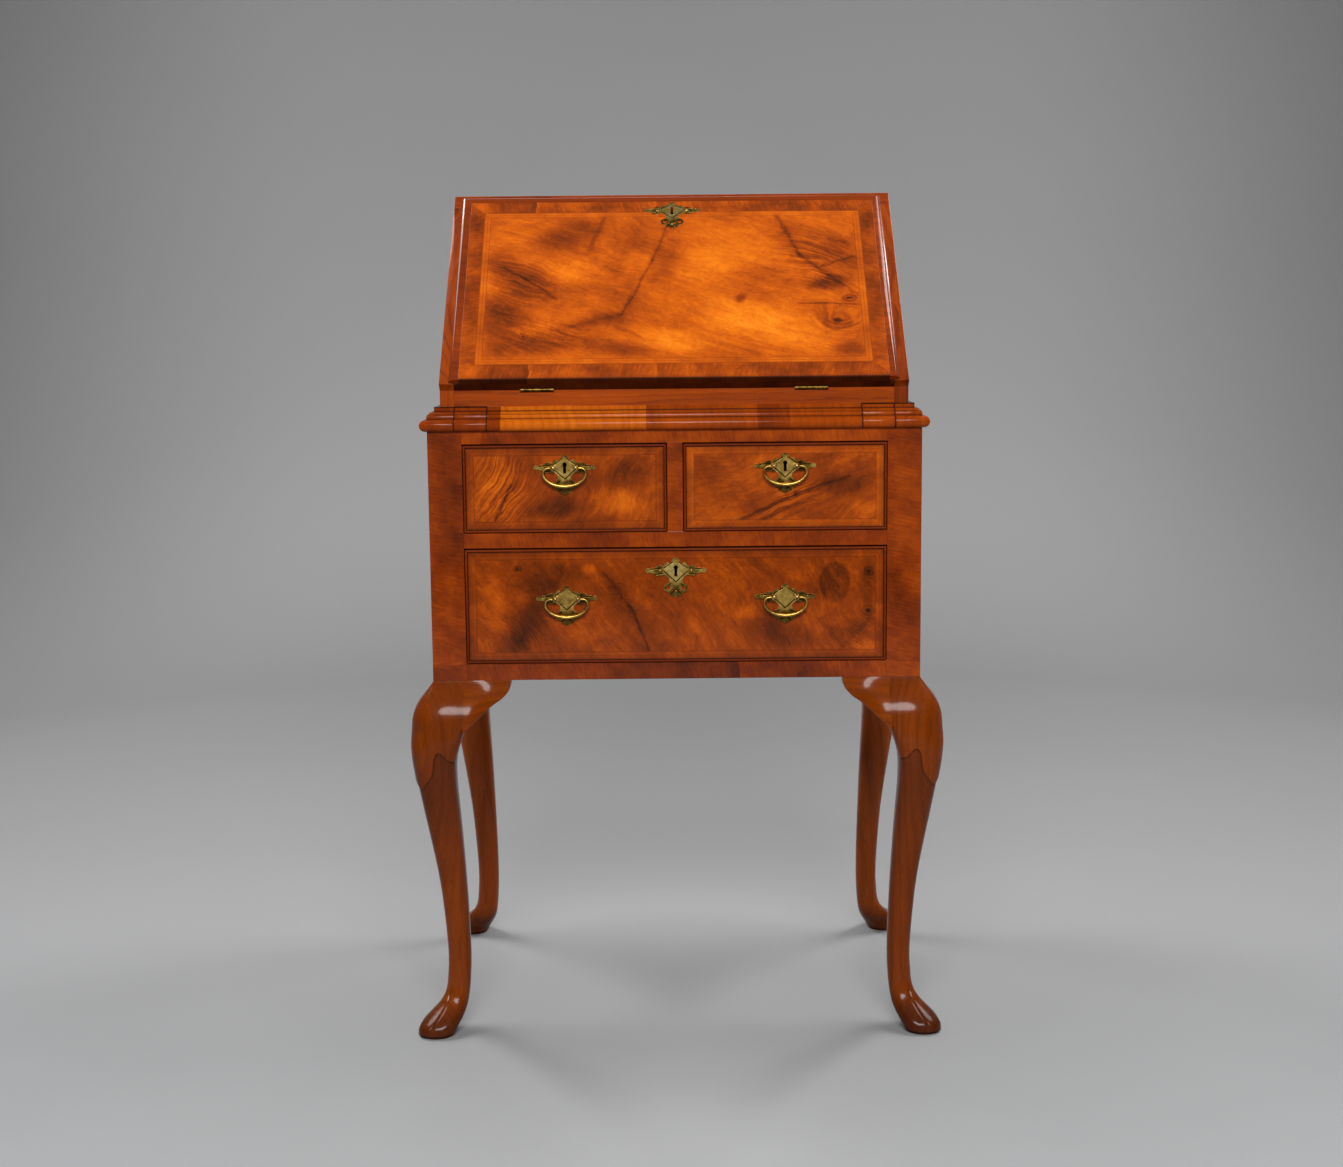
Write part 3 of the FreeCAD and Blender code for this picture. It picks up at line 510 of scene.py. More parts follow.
left_figure = drawer_figure(
    "left_drawer_front", seed=9.4, grain=60, tone=-0.13, band_tone=-0.09, tails=3,
    smoke=(
        (-53, 678, 50, 26, 8, 0.22), (-143, 636, 56, 20, 4, 0.22), (-95, 620, 44, 10, 0, 0.14),
        (-110, 668, 40, 18, 0, 0.10),
    ),
    glow=((-205, 658, 36, 62, 0, 0.10), (-64, 642, 44, 22, -10, 0.20), (-120, 694, 60, 12, 0, 0.08)),
    stripes=((-202, 660, 48, 62, 0, 0.28),),
    veins=((-192, 664, -210, 624, 2.6, 0.30), (-178, 690, -190, 660, 2.0, 0.14)),
)
right_figure = drawer_figure(
    "right_drawer_front", seed=21.7, grain=24, tone=-0.12, band_tone=0.04, tails=3,
    smoke=(
        (200, 664, 48, 22, 10, 0.22), (36, 676, 36, 32, 0, 0.12), (95, 640, 44, 14, 24, 0.14),
        (150, 634, 30, 10, 20, 0.10),
    ),
    glow=((222, 634, 24, 16, 0, 0.16), (60, 626, 44, 12, 8, 0.08), (120, 694, 60, 10, 6, 0.08)),
    stripes=((130, 642, 70, 22, 24, 0.22),),
    veins=(
        (78, 622, 140, 650, 2.8, 0.20), (140, 650, 203, 672, 3.0, 0.20), (104, 622, 160, 646, 2.2, 0.12),
    ),
)
long_figure = drawer_figure(
    "long_drawer_front", seed=34.2, grain=-52, tone=-0.17, band_tone=-0.07, tails=4,
    smoke=(
        (-148, 556, 66, 28, 14, 0.22), (-168, 510, 66, 26, 56, 0.22), (-186, 478, 44, 24, 30, 0.12),
        (-58, 520, 66, 22, -52, 0.14), (226, 550, 14, 44, 0, 0.20), (121, 486, 60, 28, -20, 0.22),
        (200, 492, 38, 20, 30, 0.12), (-20, 470, 60, 14, 0, 0.10),
    ),
    glow=(
        (-214, 524, 24, 48, 0, 0.14), (-103, 565, 14, 10, 0, 0.20), (-100, 500, 32, 36, 0, 0.06),
        (84, 511, 18, 14, 0, 0.18), (228, 470, 26, 12, 0, 0.12), (200, 500, 20, 12, 0, 0.10),
        (150, 556, 26, 20, 0, 0.08),
    ),
    ovals=((187, 547, 21, 27, 0, 0.15),),
    stripes=((-180, 480, 50, 30, 40, 0.16),),
    veins=(
        (-134, 560, -191, 472, 6.0, 0.05), (-86, 560, -55, 522, 2.4, 0.10), (-55, 522, -33, 466, 2.0, 0.20),
        (170, 502, 196, 471, 5.0, 0.10), (196, 471, 230, 505, 5.0, 0.10),
    ),
    knots=((226, 512, 7), (-186, 566, 4), (228, 560, 5)),
)


def grain_tone(place, order, figure, seed):
    """Plain wood with the grain along the last axis of order: (tone about 0, pores)."""
    axes = split(place)
    turned = join(*(axes[k] for k in order))
    drift = warp(vector("MULTIPLY", turned, (1, 1, 0.16)), 0.014, 30.0)
    x, y, z = split(drift)
    ring = length_of(join(plus(x, 150.0), plus(y, 90.0)))
    rings = streaks(ring, z, (0.13, 0.02), 3.0, 0.6, seed)
    fine = noise(vector("MULTIPLY", drift, (0.8, 0.8, 0.16)), 1.0, 3.0, 0.6)
    pore = noise(vector("MULTIPLY", turned, (1.9, 1.9, 0.12)), 1.0, 1.0)
    pore = blend(pore, 0.60, 0.72)
    cloud = noise(drift, 0.012, 3.0, 0.55, 0.4)
    year = calc("FRACT", times(total(ring, (30.0, cloud), (9.0, fine)), 0.105))
    late = calc("POWER", year, 4.0)
    tone = total(0.0, (figure, rings), (0.20, fine), (0.55, cloud), (-0.12, pore))
    return total(tone, (-0.36 * figure, late)), pore


def boards(place, tone, seed, lengths):
    """Lengths of wood of different tone with darker seams: (tone, place shifted for each length)."""
    weights, length, contrast, seam = lengths
    walk = calc("MULTIPLY_ADD", dot(place, weights), 1 / length, seed)
    pick = chance(calc("FLOOR", walk))
    off_middle = gap(calc("FRACT", walk), 0.5)
    joint = blend(off_middle, 0.5 - 1.0 / length, 0.5 - 0.3 / length)
    shift = scaled((300.0, 300.0, 300.0), pick)
    base = total(tone - contrast / 2, (contrast, pick), (-seam, joint))
    return base, vector("ADD", place, shift)


def grained(name, order, stops, tone, figure, seed, lengths=None, steps=(), gloss=0.22, finish=polish,
            painted_shade=None):
    """Plain wood. lengths (axis weights, length, contrast, seam) breaks it into pieces; steps (place along X,
    change) sets listed tones; a darkening function of the place, when given, paints shade on it, and on the
    legs a darker foot."""
    material, place = new_material(name, **finish)
    base, moved = boards(place, tone, seed, lengths) if lengths else (tone, place)
    wood, pore = grain_tone(moved, order, figure, seed)
    wood = plus(wood, base)
    for start, change in steps:
        step = blend(split(place)[0], start - 0.4, start + 0.4)
        wood = total(wood, (change, step))
    colour = ramp(wood, stops)
    if painted_shade:
        colour = mix(painted_shade(place), colour, shade_and_joint_colour)
    wave = noise(place, 0.06, 2.0)
    bump(total(times(wave, 0.8), (-0.15, pore)), 0.3)
    return finished(material, colour, patchy(place, gloss - 0.06, 0.16))


def leg_shade_and_dark_foot(place):
    """Painted shade where the mesh marks creases and the knee below the lappet, and a darker foot and sole.
    """
    shade_and_dark_foot = new_node(place.id_data, "Attribute", attribute_name="shade_and_dark_foot")
    return times(shade_and_dark_foot.outputs["Fac"], 0.58)


def bead_side_shade(place):
    """Painted shade down a bead's sides, where they turn from the front; the crest that faces the front stays
    light.
    """
    return blend(split(normal_at(place))[1], -0.98, -0.6, 0.0, 0.92)


# Grooves of the waist moulding, darkened with painted shade: height above its foot, half width, weight
waist_grooves = ((14.6, 1.1, 0.62), (19.6, 0.9, 0.5), (23.2, 1.0, 0.75))


def waist_groove_shade(place):
    """Painted shade in the waist moulding's grooves and in the gaps round the lopers' faces."""
    x, y, z = split(place)
    side = calc("ABSOLUTE", x)
    foot = box_of("waist_moulding")[0].z
    marks = [(side, edge, 1.3, 0.9) for edge in (loper_low.x, loper_high.x)]
    marks += [(z, foot + rise, width, weight) for rise, width, weight in waist_grooves]
    on_top = blend(z, loper_high.z - 1.6, loper_high.z - 0.7)
    painted_shade = times(on_top, blend(side, loper_low.x - 1, loper_low.x))
    for value, edge, width, weight in marks:
        painted_shade = most(painted_shade, blend(gap(value, edge), width, 0.25, 0.0, weight))
    on_front = blend(y, desk_front + 0.5, desk_front - 0.5)
    on_side = blend(side, desk_half - 0.5, desk_half + 0.1)
    return times(painted_shade, most(on_front, on_side))


def cross_banded(name, along, across_band, length, tone, seed):
    """Banding on a rail or stile that runs along one axis, its grain along the other."""
    material, place = new_material(name, **polish)
    axes = split(place)
    wood = cross_tone(axes[along], axes[across_band], length, seed, 0.12)
    colour = ramp(plus(wood, tone), band_stops)
    bump(noise(place, 0.06, 2.0), 0.24)
    return finished(material, colour, patchy(place, 0.16, 0.16))


# The incised lines of the right half of a plate, from its post line
plate_marks = (
    ((13.4, -1.0), (0.0, -13.5)), ((13.4, 3.4), (3.2, 10.2)), ((6.0, -15.5), (12.8, -21.5)),
    ((0.0, -22.0), (6.5, -27.5)), ((16.5, 3.0), (30.0, 1.6)), ((16.0, -3.5), (24.0, -4.4)),
)


def plate_lines(u, v):
    """1 on a plate's incised lines: a lozenge round its keyhole and a shell below."""
    where = join(calc("ABSOLUTE", u), v)
    cut = 0.0
    for start, end in plate_marks:
        cut = most(blend(line_reach(where, start, end), 1.0, 0.3), cut)
    return cut


def brass(name, tone, plate=None, out=(0, -1, 0)):
    """Aged brass, olive in the hollows, with a painted highlight on a plate's boss and edges. plate(place)
    gives across and up on a plate that faces out."""
    material, place = new_material(name, metallic=1.0)
    patina = noise(warp(place, 0.3, 1.5), 0.16, 4.0, 0.6)
    speck = noise(place, 0.9, 3.0, 0.7)
    tone = total(tone - 0.55, (0.75, patina), (0.35, speck))
    height = times(speck, 0.3)
    if plate:
        u, v = plate(place)
        cut = plate_lines(u, v)
        # The boss and the edges that turn from the plate's face are lighter: a painted highlight
        boss = blend(length_of(join(u, plus(v, 2.0))), 18.0, 11.0)
        wing = blend(calc("ABSOLUTE", u), 19.0, 27.0)
        rim = blend(dot(normal_at(place), out), 0.97, 0.7)
        tone = total(tone, (0.34, boss), (0.16, wing), (0.45, rim))
        height = total(height, (-1.2, cut))
        colour = mix(times(cut, 0.9), ramp(tone, brass_stops), incised_colour)
    else:
        colour = ramp(tone, brass_stops)
    bump(height, 0.3)
    return finished(material, colour, total(0.20, (0.24, patina)))


def flat_plate(centre_x, post_z, mirrored=False):
    """Across and up on an upright plate; mirrored serves a plate on each side."""
    def plate(place):
        x, _, z = split(place)
        u = less(calc("ABSOLUTE", x) if mirrored else x, centre_x)
        return u, less(z, post_z)
    return plate


def sloping_plate(place):
    """Across and up on the fall's key plate."""
    x, y, z = split(vector("SUBTRACT", place, (0, desk_front, writing_z)))
    return x, calc("MULTIPLY_ADD", plus(y, z), root_half, -fall_key_along)


def iron():
    material, place = new_material("dark_iron", metallic=0.9)
    rust = noise(place, 0.12, 5.0, 0.65)
    bump(rust, 0.3)
    return finished(material, ramp(rust, iron_stops), total(0.35, (0.3, rust)))


def leather():
    material, place = new_material("old_leather", specular_ior_level=0.4)
    cells = node_from((warp(place, 0.4, 1.2),), "TexVoronoi", feature="DISTANCE_TO_EDGE")
    cells.inputs["Scale"].default_value = 0.55
    grain = blend(cells.outputs["Distance"], 0.0, 0.35)
    wear = noise(place, 0.012, 4.0, 0.6)
    colour = ramp(total(0.0, (0.25, grain), (0.75, wear)), leather_stops)
    bump(grain, 0.25)
    return finished(material, colour, total(0.42, (0.25, wear)))


def gilding():
    material, place = new_material("worn_gilding", metallic=1.0)
    rubbed = noise(place, 0.25, 4.0, 0.65)
    return finished(material, ramp(rubbed, gilt_stops), total(0.30, (0.25, rubbed)))


def paint(names, material):
    """Gives CAD nodes, named in one string, a material."""
    for name in names.split():
        mesh = nodes[name].data
        mesh.materials.clear()
        mesh.materials.append(material)


def paint_veneers():
    paint("fall_front", panel_veneer("fall_veneer", fall_coordinates, fall_figure))
    for drawer, figure in (("left", left_figure), ("right", right_figure), ("long", long_figure)):
        paint(drawer + "_drawer_front", panel_veneer(drawer + "_drawer_veneer", front_coordinates, figure))


# Which axes the grain crosses, then the one that it follows
across, depthwise, upright = (1, 2, 0), (0, 2, 1), (0, 1, 2)
# Tones along the waist moulding: place along X, change. The lengths differ in tone, and the bright amber
# length from -202 to -33 is also a painted sheen.
waist_steps = ((-202, 0.37), (-33, -0.25), (96, -0.14), (134, 0.16))


def paint_bandings():
    for names, name, along, across_band, length, tone, seed in (
            ("top_rail middle_rail", "rail_banding", 0, 2, 170.0, 0.03, 2.3),
            # The bottom rail takes a darker copy of the rail banding: painted shade on the low rail
            ("bottom_rail", "bottom_rail_shaded_banding", 0, 2, 130.0, -0.09, 4.4),
            ("desk_front_rail", "desk_rail_banding", 0, 2, 190.0, 0.10, 2.9),
            ("front_stiles drawer_divider", "stile_banding", 2, 0, 190.0, 0.01, 5.6)):
        paint(names, cross_banded(name, along, across_band, length, tone, seed))
    paint("waist_moulding left_loper right_loper",
          grained("waist_banding", upright, band_stops, 0.07, 0.18, 7.2, ((0, 1, 0), 150.0, 0.1, 0.1),
                  waist_steps, finish=worn, painted_shade=waist_groove_shade))


def paint_walnut():
    for names, name, order, tone, figure, seed in (
            ("fall_lipping", "lip_walnut", across, 0.02, 0.26, 8.0),
            ("case_left_side case_right_side", "case_side_walnut", upright, -0.16, 0.62, 11.0),
            ("desk_left_side desk_right_side", "desk_side_walnut", upright, -0.02, 0.50, 13.0),
            ("desk_top", "board_walnut", across, -0.02, 0.50, 15.0),
            ("writing_board", "writing_walnut", across, 0.12, 0.40, 16.0),
            ("pigeonhole_shelf pigeonhole_dividers", "nest_walnut", across, -0.02, 0.44, 29.0),
            ("left_nest_drawer right_nest_drawer", "nest_front_walnut", across, 0.06, 0.50, 31.0)):
        paint(names, grained(name, order, band_stops, tone, figure, seed))
    paint("left_drawer_bead right_drawer_bead long_drawer_bead",
          grained("bead_walnut", across, bead_stops, 0.06, 0.30, 17.0, gloss=0.4, finish=bare,
                  painted_shade=bead_side_shade))


def paint_legs():
    paint("knee_brackets", grained("bracket_walnut", across, leg_stops, 0.10, 0.26, 19.0, finish=satin))
    # The back legs take a lighter copy of the leg walnut: painted light on legs that stand in shade
    for names, name, tone, seed in (("front_left_leg front_right_leg", "leg_walnut", 0.06, 23.0),
                                    ("back_left_leg back_right_leg", "back_leg_painted_light_walnut", 0.16, 25.0)):
        paint(names, grained(name, upright, leg_stops, tone, 0.28, seed, finish=satin, painted_shade=leg_shade_and_dark_foot))


def paint_linings():
    oak = grained("oak_lining", depthwise, oak_stops, 0.07, 0.35, 37.0, gloss=0.56, finish=bare)
    paint("case_bottom case_top dust_board drawer_guides loper_guides", oak)
    paint("left_drawer_box right_drawer_box long_drawer_box", oak)
    for name, seed in (("case_back", 41.0), ("desk_back", 44.4)):
        paint(name, grained(name + "_oak", upright, oak_stops, 0.06, 0.4, seed, ((1, 0, 0), 140.0, 0.18, 0.7),
                            gloss=0.6, finish=bare))
    paint("left_drawer_lock right_drawer_lock long_drawer_lock fall_lock", iron())


plain_brass = brass("plain_brass", 0.50)


def paint_brass():
    bails = "left_drawer_bail right_drawer_bail long_drawer_left_bail long_drawer_right_bail"
    paint(bails, brass("rubbed_brass", 0.54))
    paint("left_nest_knob right_nest_knob", plain_brass)
    paint("hinge_desk_leaves hinge_fall_leaves hinge_pins", brass("dull_brass", 0.16))
    for side, x in (("left", -handle_x), ("right", handle_x)):
        paint(side + "_drawer_plate", brass(side + "_plate_brass", 0.26, flat_plate(x, short_post_z)))
    paint("long_drawer_plates", brass("long_plate_brass", 0.26, flat_plate(handle_x, long_post_z, True)))
    paint("long_drawer_escutcheon", brass("key_plate_brass", 0.34, flat_plate(0.0, long_key_z)))
    paint("fall_escutcheon", brass("fall_plate_brass", 0.34, sloping_plate, tuple(slope_out)))


def soften(names, width):
    """Rounds the sharp edges of CAD nodes, as years of polishing do."""
    for name in names.split():
        weld = nodes[name].modifiers.new("weld", "WELD")
        weld.merge_threshold = 0.002 * mm
        bevel = nodes[name].modifiers.new("bevel", "BEVEL")
        bevel.width = width * mm
        bevel.segments = 2
        bevel.limit_method = "ANGLE"
        bevel.angle_limit = math.radians(32)


def soften_edges():
    soften("fall_front fall_lipping desk_left_side desk_right_side desk_top", 0.6)
    soften("case_left_side case_right_side", 0.6)
    soften("front_stiles top_rail middle_rail bottom_rail drawer_divider", 0.35)
    soften("waist_moulding left_loper right_loper", 0.35)
    soften("left_drawer_plate right_drawer_plate long_drawer_plates", 0.45)
    soften("long_drawer_escutcheon fall_escutcheon", 0.45)


def piece_of(name, points, faces, material, sharp):
    """A smooth mesh piece whose edges over sharp degrees stay crisp."""
    made = bpy.data.meshes.new(name)
    made.from_pydata([tuple(p) for p in points], [], faces)
    made.materials.append(material)
    made.polygons.foreach_set("use_smooth", [True] * len(made.polygons))
    made.set_sharp_from_angle(angle=math.radians(sharp))
    made.update()
    piece = bpy.data.objects.new(name, made)
    bpy.context.scene.collection.objects.link(piece)
    return piece


def grid_faces(rows, count, spans):
    """Faces between rows of count points each, over the first spans of every row."""
    pairs = [(r * count, k, (k + 1) % count) for r in range(rows - 1) for k in range(spans)]
    return [(row + k, row + after, row + count + after, row + count + k) for row, k, after in pairs]


def tube_faces(rows, count):
    """Faces of a closed tube of rows of count points each."""
    ends = [tuple(reversed(range(count))), tuple(range((rows - 1) * count, rows * count))]
    return grid_faces(rows, count, count) + ends


def surface_of(node):
    """A CAD node's mesh, for casting rays at it."""
    mesh = nodes[node].data
    return BVHTree.FromPolygons([v.co for v in mesh.vertices], [p.vertices for p in mesh.polygons])


# The carved pieces stop this far short of the case and the floor
skin_gap = 0.05
# Lappet on the front knees: angle round the leg from its outer corner, and height
lappet_line = (
    (0, 305), (8, 307), (26, 316), (37, 322.5), (43, 331), (45.5, 338), (47, 344.5), (51, 349.5),
    (57, 351), (63, 349.7), (71, 345.4), (79, 341), (90, 339), (130, 338),
)
lappet_rise = 1.8
leg_angles = [2.25 * k - 180 for k in range(160)]
leg_angles += [side * (90 + step) for side in (-1, 1) for step in (-1.1, -0.4, 0.4, 1.1)]
leg_angles.sort()
compass = ((1, 0, 0), (-1, 0, 0), (0, 1, 0), (0, -1, 0))
# Rows of points up a leg: the first few at the sole, then (up to height, step)
sole_rows = (skin_gap, 0.5, 3.2, 3.45, 3.6)
leg_zones = ((60.0, 1.4), (298.0, 4.0), (356.0, 1.0), (case_foot - 2 * skin_gap, 2.0))


def line_offset(line, angle, height, radius):
    """How far a place on the leg lies above a line of (angle, height), measured over the surface."""
    here = Vector((math.radians(angle) * radius, height))
    best, above = 1e9, False
    for (a0, z0), (a1, z1) in zip(line, line[1:]):
        start = Vector((math.radians(a0) * radius, z0))
        run = Vector((math.radians(a1) * radius, z1)) - start
        share = max(0.0, min(1.0, (here - start).dot(run) / run.length_squared))
        best = min(best, (here - start - run * share).length)
        if a0 <= angle <= a1:
            above = height > z0 + (z1 - z0) * (angle - a0) / (a1 - a0)
    return best if above else -best


def ease(value, low, high):
    """A smooth step from 0 at low to 1 at high."""
    share = max(0.0, min(1.0, (value - low) / (high - low)))
    return share * share * (3 - 2 * share)


def bell(value, middle, width):
    return math.exp(-((value - middle) / width) ** 2)


def leg_rows():
    rows = list(sole_rows)
    for limit, step in leg_zones:
        while rows[-1] + step < limit:
            rows.append(rows[-1] + step)
    return rows + [case_foot - skin_gap]


def leg_relief(angle, height, radius, carved):
    """How far the carving stands out of the plain leg, and how dark it is painted: shade in its creases and
    below the lappet, and a darker foot and sole.
    """
    rise, shade_and_dark_foot = 0.0, 0.0
    side = abs(angle)
    if carved and 220 < height < 380:
        offset = line_offset(lappet_line, min(side, 129.0), height, radius)
        share = (1 - ease(side, 92, 126)) * (1 - ease(height, 352, 380))
        rise += share * (lappet_rise * ease(offset, -0.8, 0.5) - 0.5 * bell(offset, -1.3, 1.0))
        # Painted shade in the lappet's crease and, fading downward, on the knee below it
        shade = 0.6 * ease(offset, -90, -1) if offset < 0 else 0.0
        shade_and_dark_foot = max(shade_and_dark_foot, share * bell(offset, -0.9, 1.1), share * shade)
    if 5 < height < 62:
        offset = math.radians(5 + 21 * ease(height, 58, 14) - side) * radius
        share = (1 - ease(height, 40, 60)) * ease(height, 6, 12)
        rise += share * (0.9 * ease(offset, -0.6, 1.6) - 0.8 * bell(offset, -0.9, 1.3))
        # Painted shade in the crease beside the foot's tongue
        shade_and_dark_foot = max(shade_and_dark_foot, 0.7 * share * bell(offset, -0.9, 1.0))
    if 345 < height < 430:
        share = ease(height, 345, 372) * ease(height, 430, 405)
        rise += share * (1.3 * math.sin(math.pi * ease(side, 8, 90)) - 1.0 * bell(side, 0, 22))
    # The leg grows darker toward the foot, and darker still on the sole
    return rise, max(shade_and_dark_foot, 1.1 * ease(height, 50, 18), 1.5 * ease(height, 4.4, 3.4))


def section_middle(tree, centre):
    """The middle of a leg's level section, found by steps from a place inside it."""
    for _ in range(3):
        hits = [tree.ray_cast(centre, Vector(way))[0] for way in compass]
        centre = Vector(((hits[0].x + hits[1].x) / 2, (hits[2].y + hits[3].y) / 2, centre.z))
    return centre


def leg_piece(node, side_x, side_y, carved):
    """A fine mesh over a CAD leg, with its carving."""
    tree = surface_of(node)
    outer = math.atan2(side_y, side_x)
    rows = leg_rows()
    sole = [v.co for v in nodes[node].data.vertices if v.co.z < 1 * mm]
    centre = sum(sole, Vector()) / len(sole)
    points, shade_and_dark_foot_values = [], []
    for height in rows:
        centre = section_middle(tree, Vector((centre.x, centre.y, height * mm)))
        for angle in leg_angles:
            turn = outer + math.radians(angle)
            away = Vector((math.cos(turn), math.sin(turn), 0))
            hit = tree.ray_cast(centre, away)[0]
            rise, shade_and_dark_foot = leg_relief(angle, height, (hit - centre).length / mm, carved)
            points.append(hit + away * rise * mm)
            shade_and_dark_foot_values.append(shade_and_dark_foot)
    faces = tube_faces(len(rows), len(leg_angles))
    piece = piece_of(node + "_carved", points, faces, nodes[node].data.materials[0], 33)
    # The attribute holds painted shade in the carving's creases and a darker foot and sole
    piece.data.attributes.new("shade_and_dark_foot", "FLOAT", "POINT").data.foreach_set("value", shade_and_dark_foot_values)
    return piece


def carve_legs():
    for node, side_x, side_y in (("front_left_leg", -1, -1), ("front_right_leg", 1, -1),
                                 ("back_left_leg", -1, 1), ("back_right_leg", 1, 1)):
        piece = leg_piece(node, side_x, side_y, side_y < 0)
        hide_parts(node)
        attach(piece, "desk")


# A knee bracket's lower edge: distance from the leg's block, and depth below the case
bracket_edge = (
    (-2.4, 60.4), (4.9, 52.8), (20.0, 38.9), (32.4, 29.0), (41.6, 23.2), (48.6, 16.2), (52.2, 10.2),
    (54.0, 0.8),
)
bracket_depth = 24.0
bracket_round = 1.8


def line_through(points, steps):
    """Places on a smooth line through the given ones."""
    points = [Vector(p) for p in points]
    ends = [2 * points[0] - points[1]] + points + [2 * points[-1] - points[-2]]
    made = []
    for a, b, c, d in zip(ends, ends[1:], ends[2:], ends[3:]):
        for t in (k / steps for k in range(steps)):
            square, cube = 2 * a - 5 * b + 4 * c - d, 3 * b - a - 3 * c + d
            made.append((2 * b + (c - a) * t + square * t * t + cube * t ** 3) / 2)
    return made + [points[-1]]


def bracket_ring(swell, along, drop):
    """The bracket's upright section: its swelling face, rounded lower edge, underside and back."""
    share = (1 + math.cos(math.pi * max(along, 0.0) / bracket_edge[-1][0])) / 2
    bend = min(bracket_round, 0.45 * drop)
    top = case_foot - skin_gap
    low = top - drop

    def face(z):
        return case_front - share * swell(z)

    ring = [(face(z), z) for z in (top - (drop - bend) * k / 24 for k in range(25))]
    for angle in (math.pi / 2 * k / 5 for k in range(1, 6)):
        ring.append((face(low + bend) + bend * (1 - math.cos(angle)), low + bend * (1 - math.sin(angle))))
    ring += [(case_front + bracket_depth, low), (case_front + bracket_depth, top)]
    return [Vector((leg_seam + along, y, z)) * mm for y, z in ring]


def bracket_moves():
    """The moves from the left front bracket to the left ones beside it and behind."""
    corner = (case_half + case_front) * mm
    swing = Matrix(((0, 1, 0, -corner), (1, 0, 0, corner), (0, 0, 1, 0), (0, 0, 0, 1)))
    back = Matrix.Translation(((back_leg_seam - leg_seam) * mm, 0, 0)) @ Matrix.Diagonal((1, -1, 1, 1))
    return Matrix.Identity(4), swing, back @ swing


def smooth_brackets():
    """The six knee brackets, flush with the legs' swelling knees."""
    tree = surface_of("front_left_leg")

    def swell(z):
        hit = tree.ray_cast(Vector((leg_seam - 10, -300, z)) * mm, Vector((0, 1, 0)))[0]
        return case_front - hit.y / mm

    rings = [bracket_ring(swell, *place) for place in line_through(bracket_edge, 6)]
    loops = tube_faces(len(rings), len(rings[0]))
    mirror = Matrix.Diagonal((-1, 1, 1, 1))
    points, faces = [], []
    for move in bracket_moves():
        for turn in (move, mirror @ move):
            start = len(points)
            points += [turn @ p for ring in rings for p in ring]
            step = 1 if turn.determinant() > 0 else -1
            faces += [tuple(start + i for i in loop[::step]) for loop in loops]
    piece = piece_of("knee_brackets_smooth", points, faces, nodes["knee_brackets"].data.materials[0], 40)
    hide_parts("knee_brackets")
    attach(piece, "desk")


def slope_place(u, along, out):
    """A place on the closed fall, in metres: across, up the slope and out of its inner face."""
    return Vector((u, desk_front + (along - out) * root_half, writing_z + (along + out) * root_half)) * mm


def rectangle(half, low, high, out):
    return [slope_place(u, v, out) for u, v in ((-half, low), (half, low), (half, high), (-half, high))]


def line_fall():
    """The leather on the fall's inner face and the gilt lines tooled in it."""
    half, low, high = 214.0, 46.0, 252.0
    rise, edge_rise, round_edge = 0.6, 0.4, 0.7
    crest = (half - round_edge, low + round_edge, high - round_edge, -rise)
    loops = ((half, low, high, 0.0), (half, low, high, -edge_rise), crest)
    points = [p for loop in loops for p in rectangle(*loop)]
    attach(piece_of("fall_leather", points, tube_faces(3, 4), leather(), 60), "fall")
    gilt = gilding()
    sunk, proud = -rise + 0.1, -rise - 0.06
    for name, inset, width in (("outer", 9.0, 1.5), ("inner", 13.0, 0.7)):
        rims = []
        for edge, out in ((inset, sunk), (inset, proud), (inset + width, proud), (inset + width, sunk)):
            rims += rectangle(half - edge, low + edge, high - edge, out)
        faces = grid_faces(4, 4, 4) + [(12 + k, 12 + (k + 1) % 4, (k + 1) % 4, k) for k in range(4)]
        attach(piece_of("gilt_line_" + name, rims, faces, gilt, 60), "fall")


def dome(place, out, radius, height):
    """Points and faces of a round pin head standing on a face, let in a little."""
    out = out.normalized()
    side = out.orthogonal().normalized()
    other = out.cross(side)
    rows, count, let_in = 4, 14, 0.2
    turns = [2 * math.pi * k / count for k in range(count)]
    round_way = [side * math.cos(t) + other * math.sin(t) for t in turns]
    points = [place + (way * radius - out * let_in) * mm for way in round_way]
    for lift in (math.pi / 2 * row / rows for row in range(rows)):
        reach, rise = radius * math.cos(lift), height * math.sin(lift)
        points += [place + (way * reach + out * rise) * mm for way in round_way]
    points.append(place + out * height * mm)
    faces = grid_faces(rows + 1, count, count) + [tuple(reversed(range(count)))]
    faces += [(rows * count + k, rows * count + (k + 1) % count, len(points) - 1) for k in range(count)]
    return points, faces


def pins(name, body, spots, out, head, material=plain_brass):
    """A set of round heads (radius, height) as one piece riding on a body."""
    points, faces = [], []
    for place in spots:
        more, loops = dome(place, out, *head)
        faces += [tuple(i + len(points) for i in loop) for loop in loops]
        points += more
    piece = piece_of(name, points, faces, material, 60)
    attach(piece, body)


def nail_backs():
    """The nails that hold the back boards, a little out of line."""
    iron_heads = nodes["fall_lock"].data.materials[0]
    inset, stray, head = 12.0, 1.5, (2.4, 0.7)
    for node in ("case_back", "desk_back"):
        low, high = (Vector(c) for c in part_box(node))
        columns = [low.x + (high.x - low.x) * share for share in (0.03, 0.2, 0.36, 0.5, 0.64, 0.8, 0.97)]
        spots = [Vector((x, high.y, z + stray * mm * math.sin(900 * x + z * 70)))
                 for z in (low.z + inset * mm, high.z - inset * mm) for x in columns]
        pins(node + "_nails", "desk", spots, Vector((0, 1, 0)), head, iron_heads)


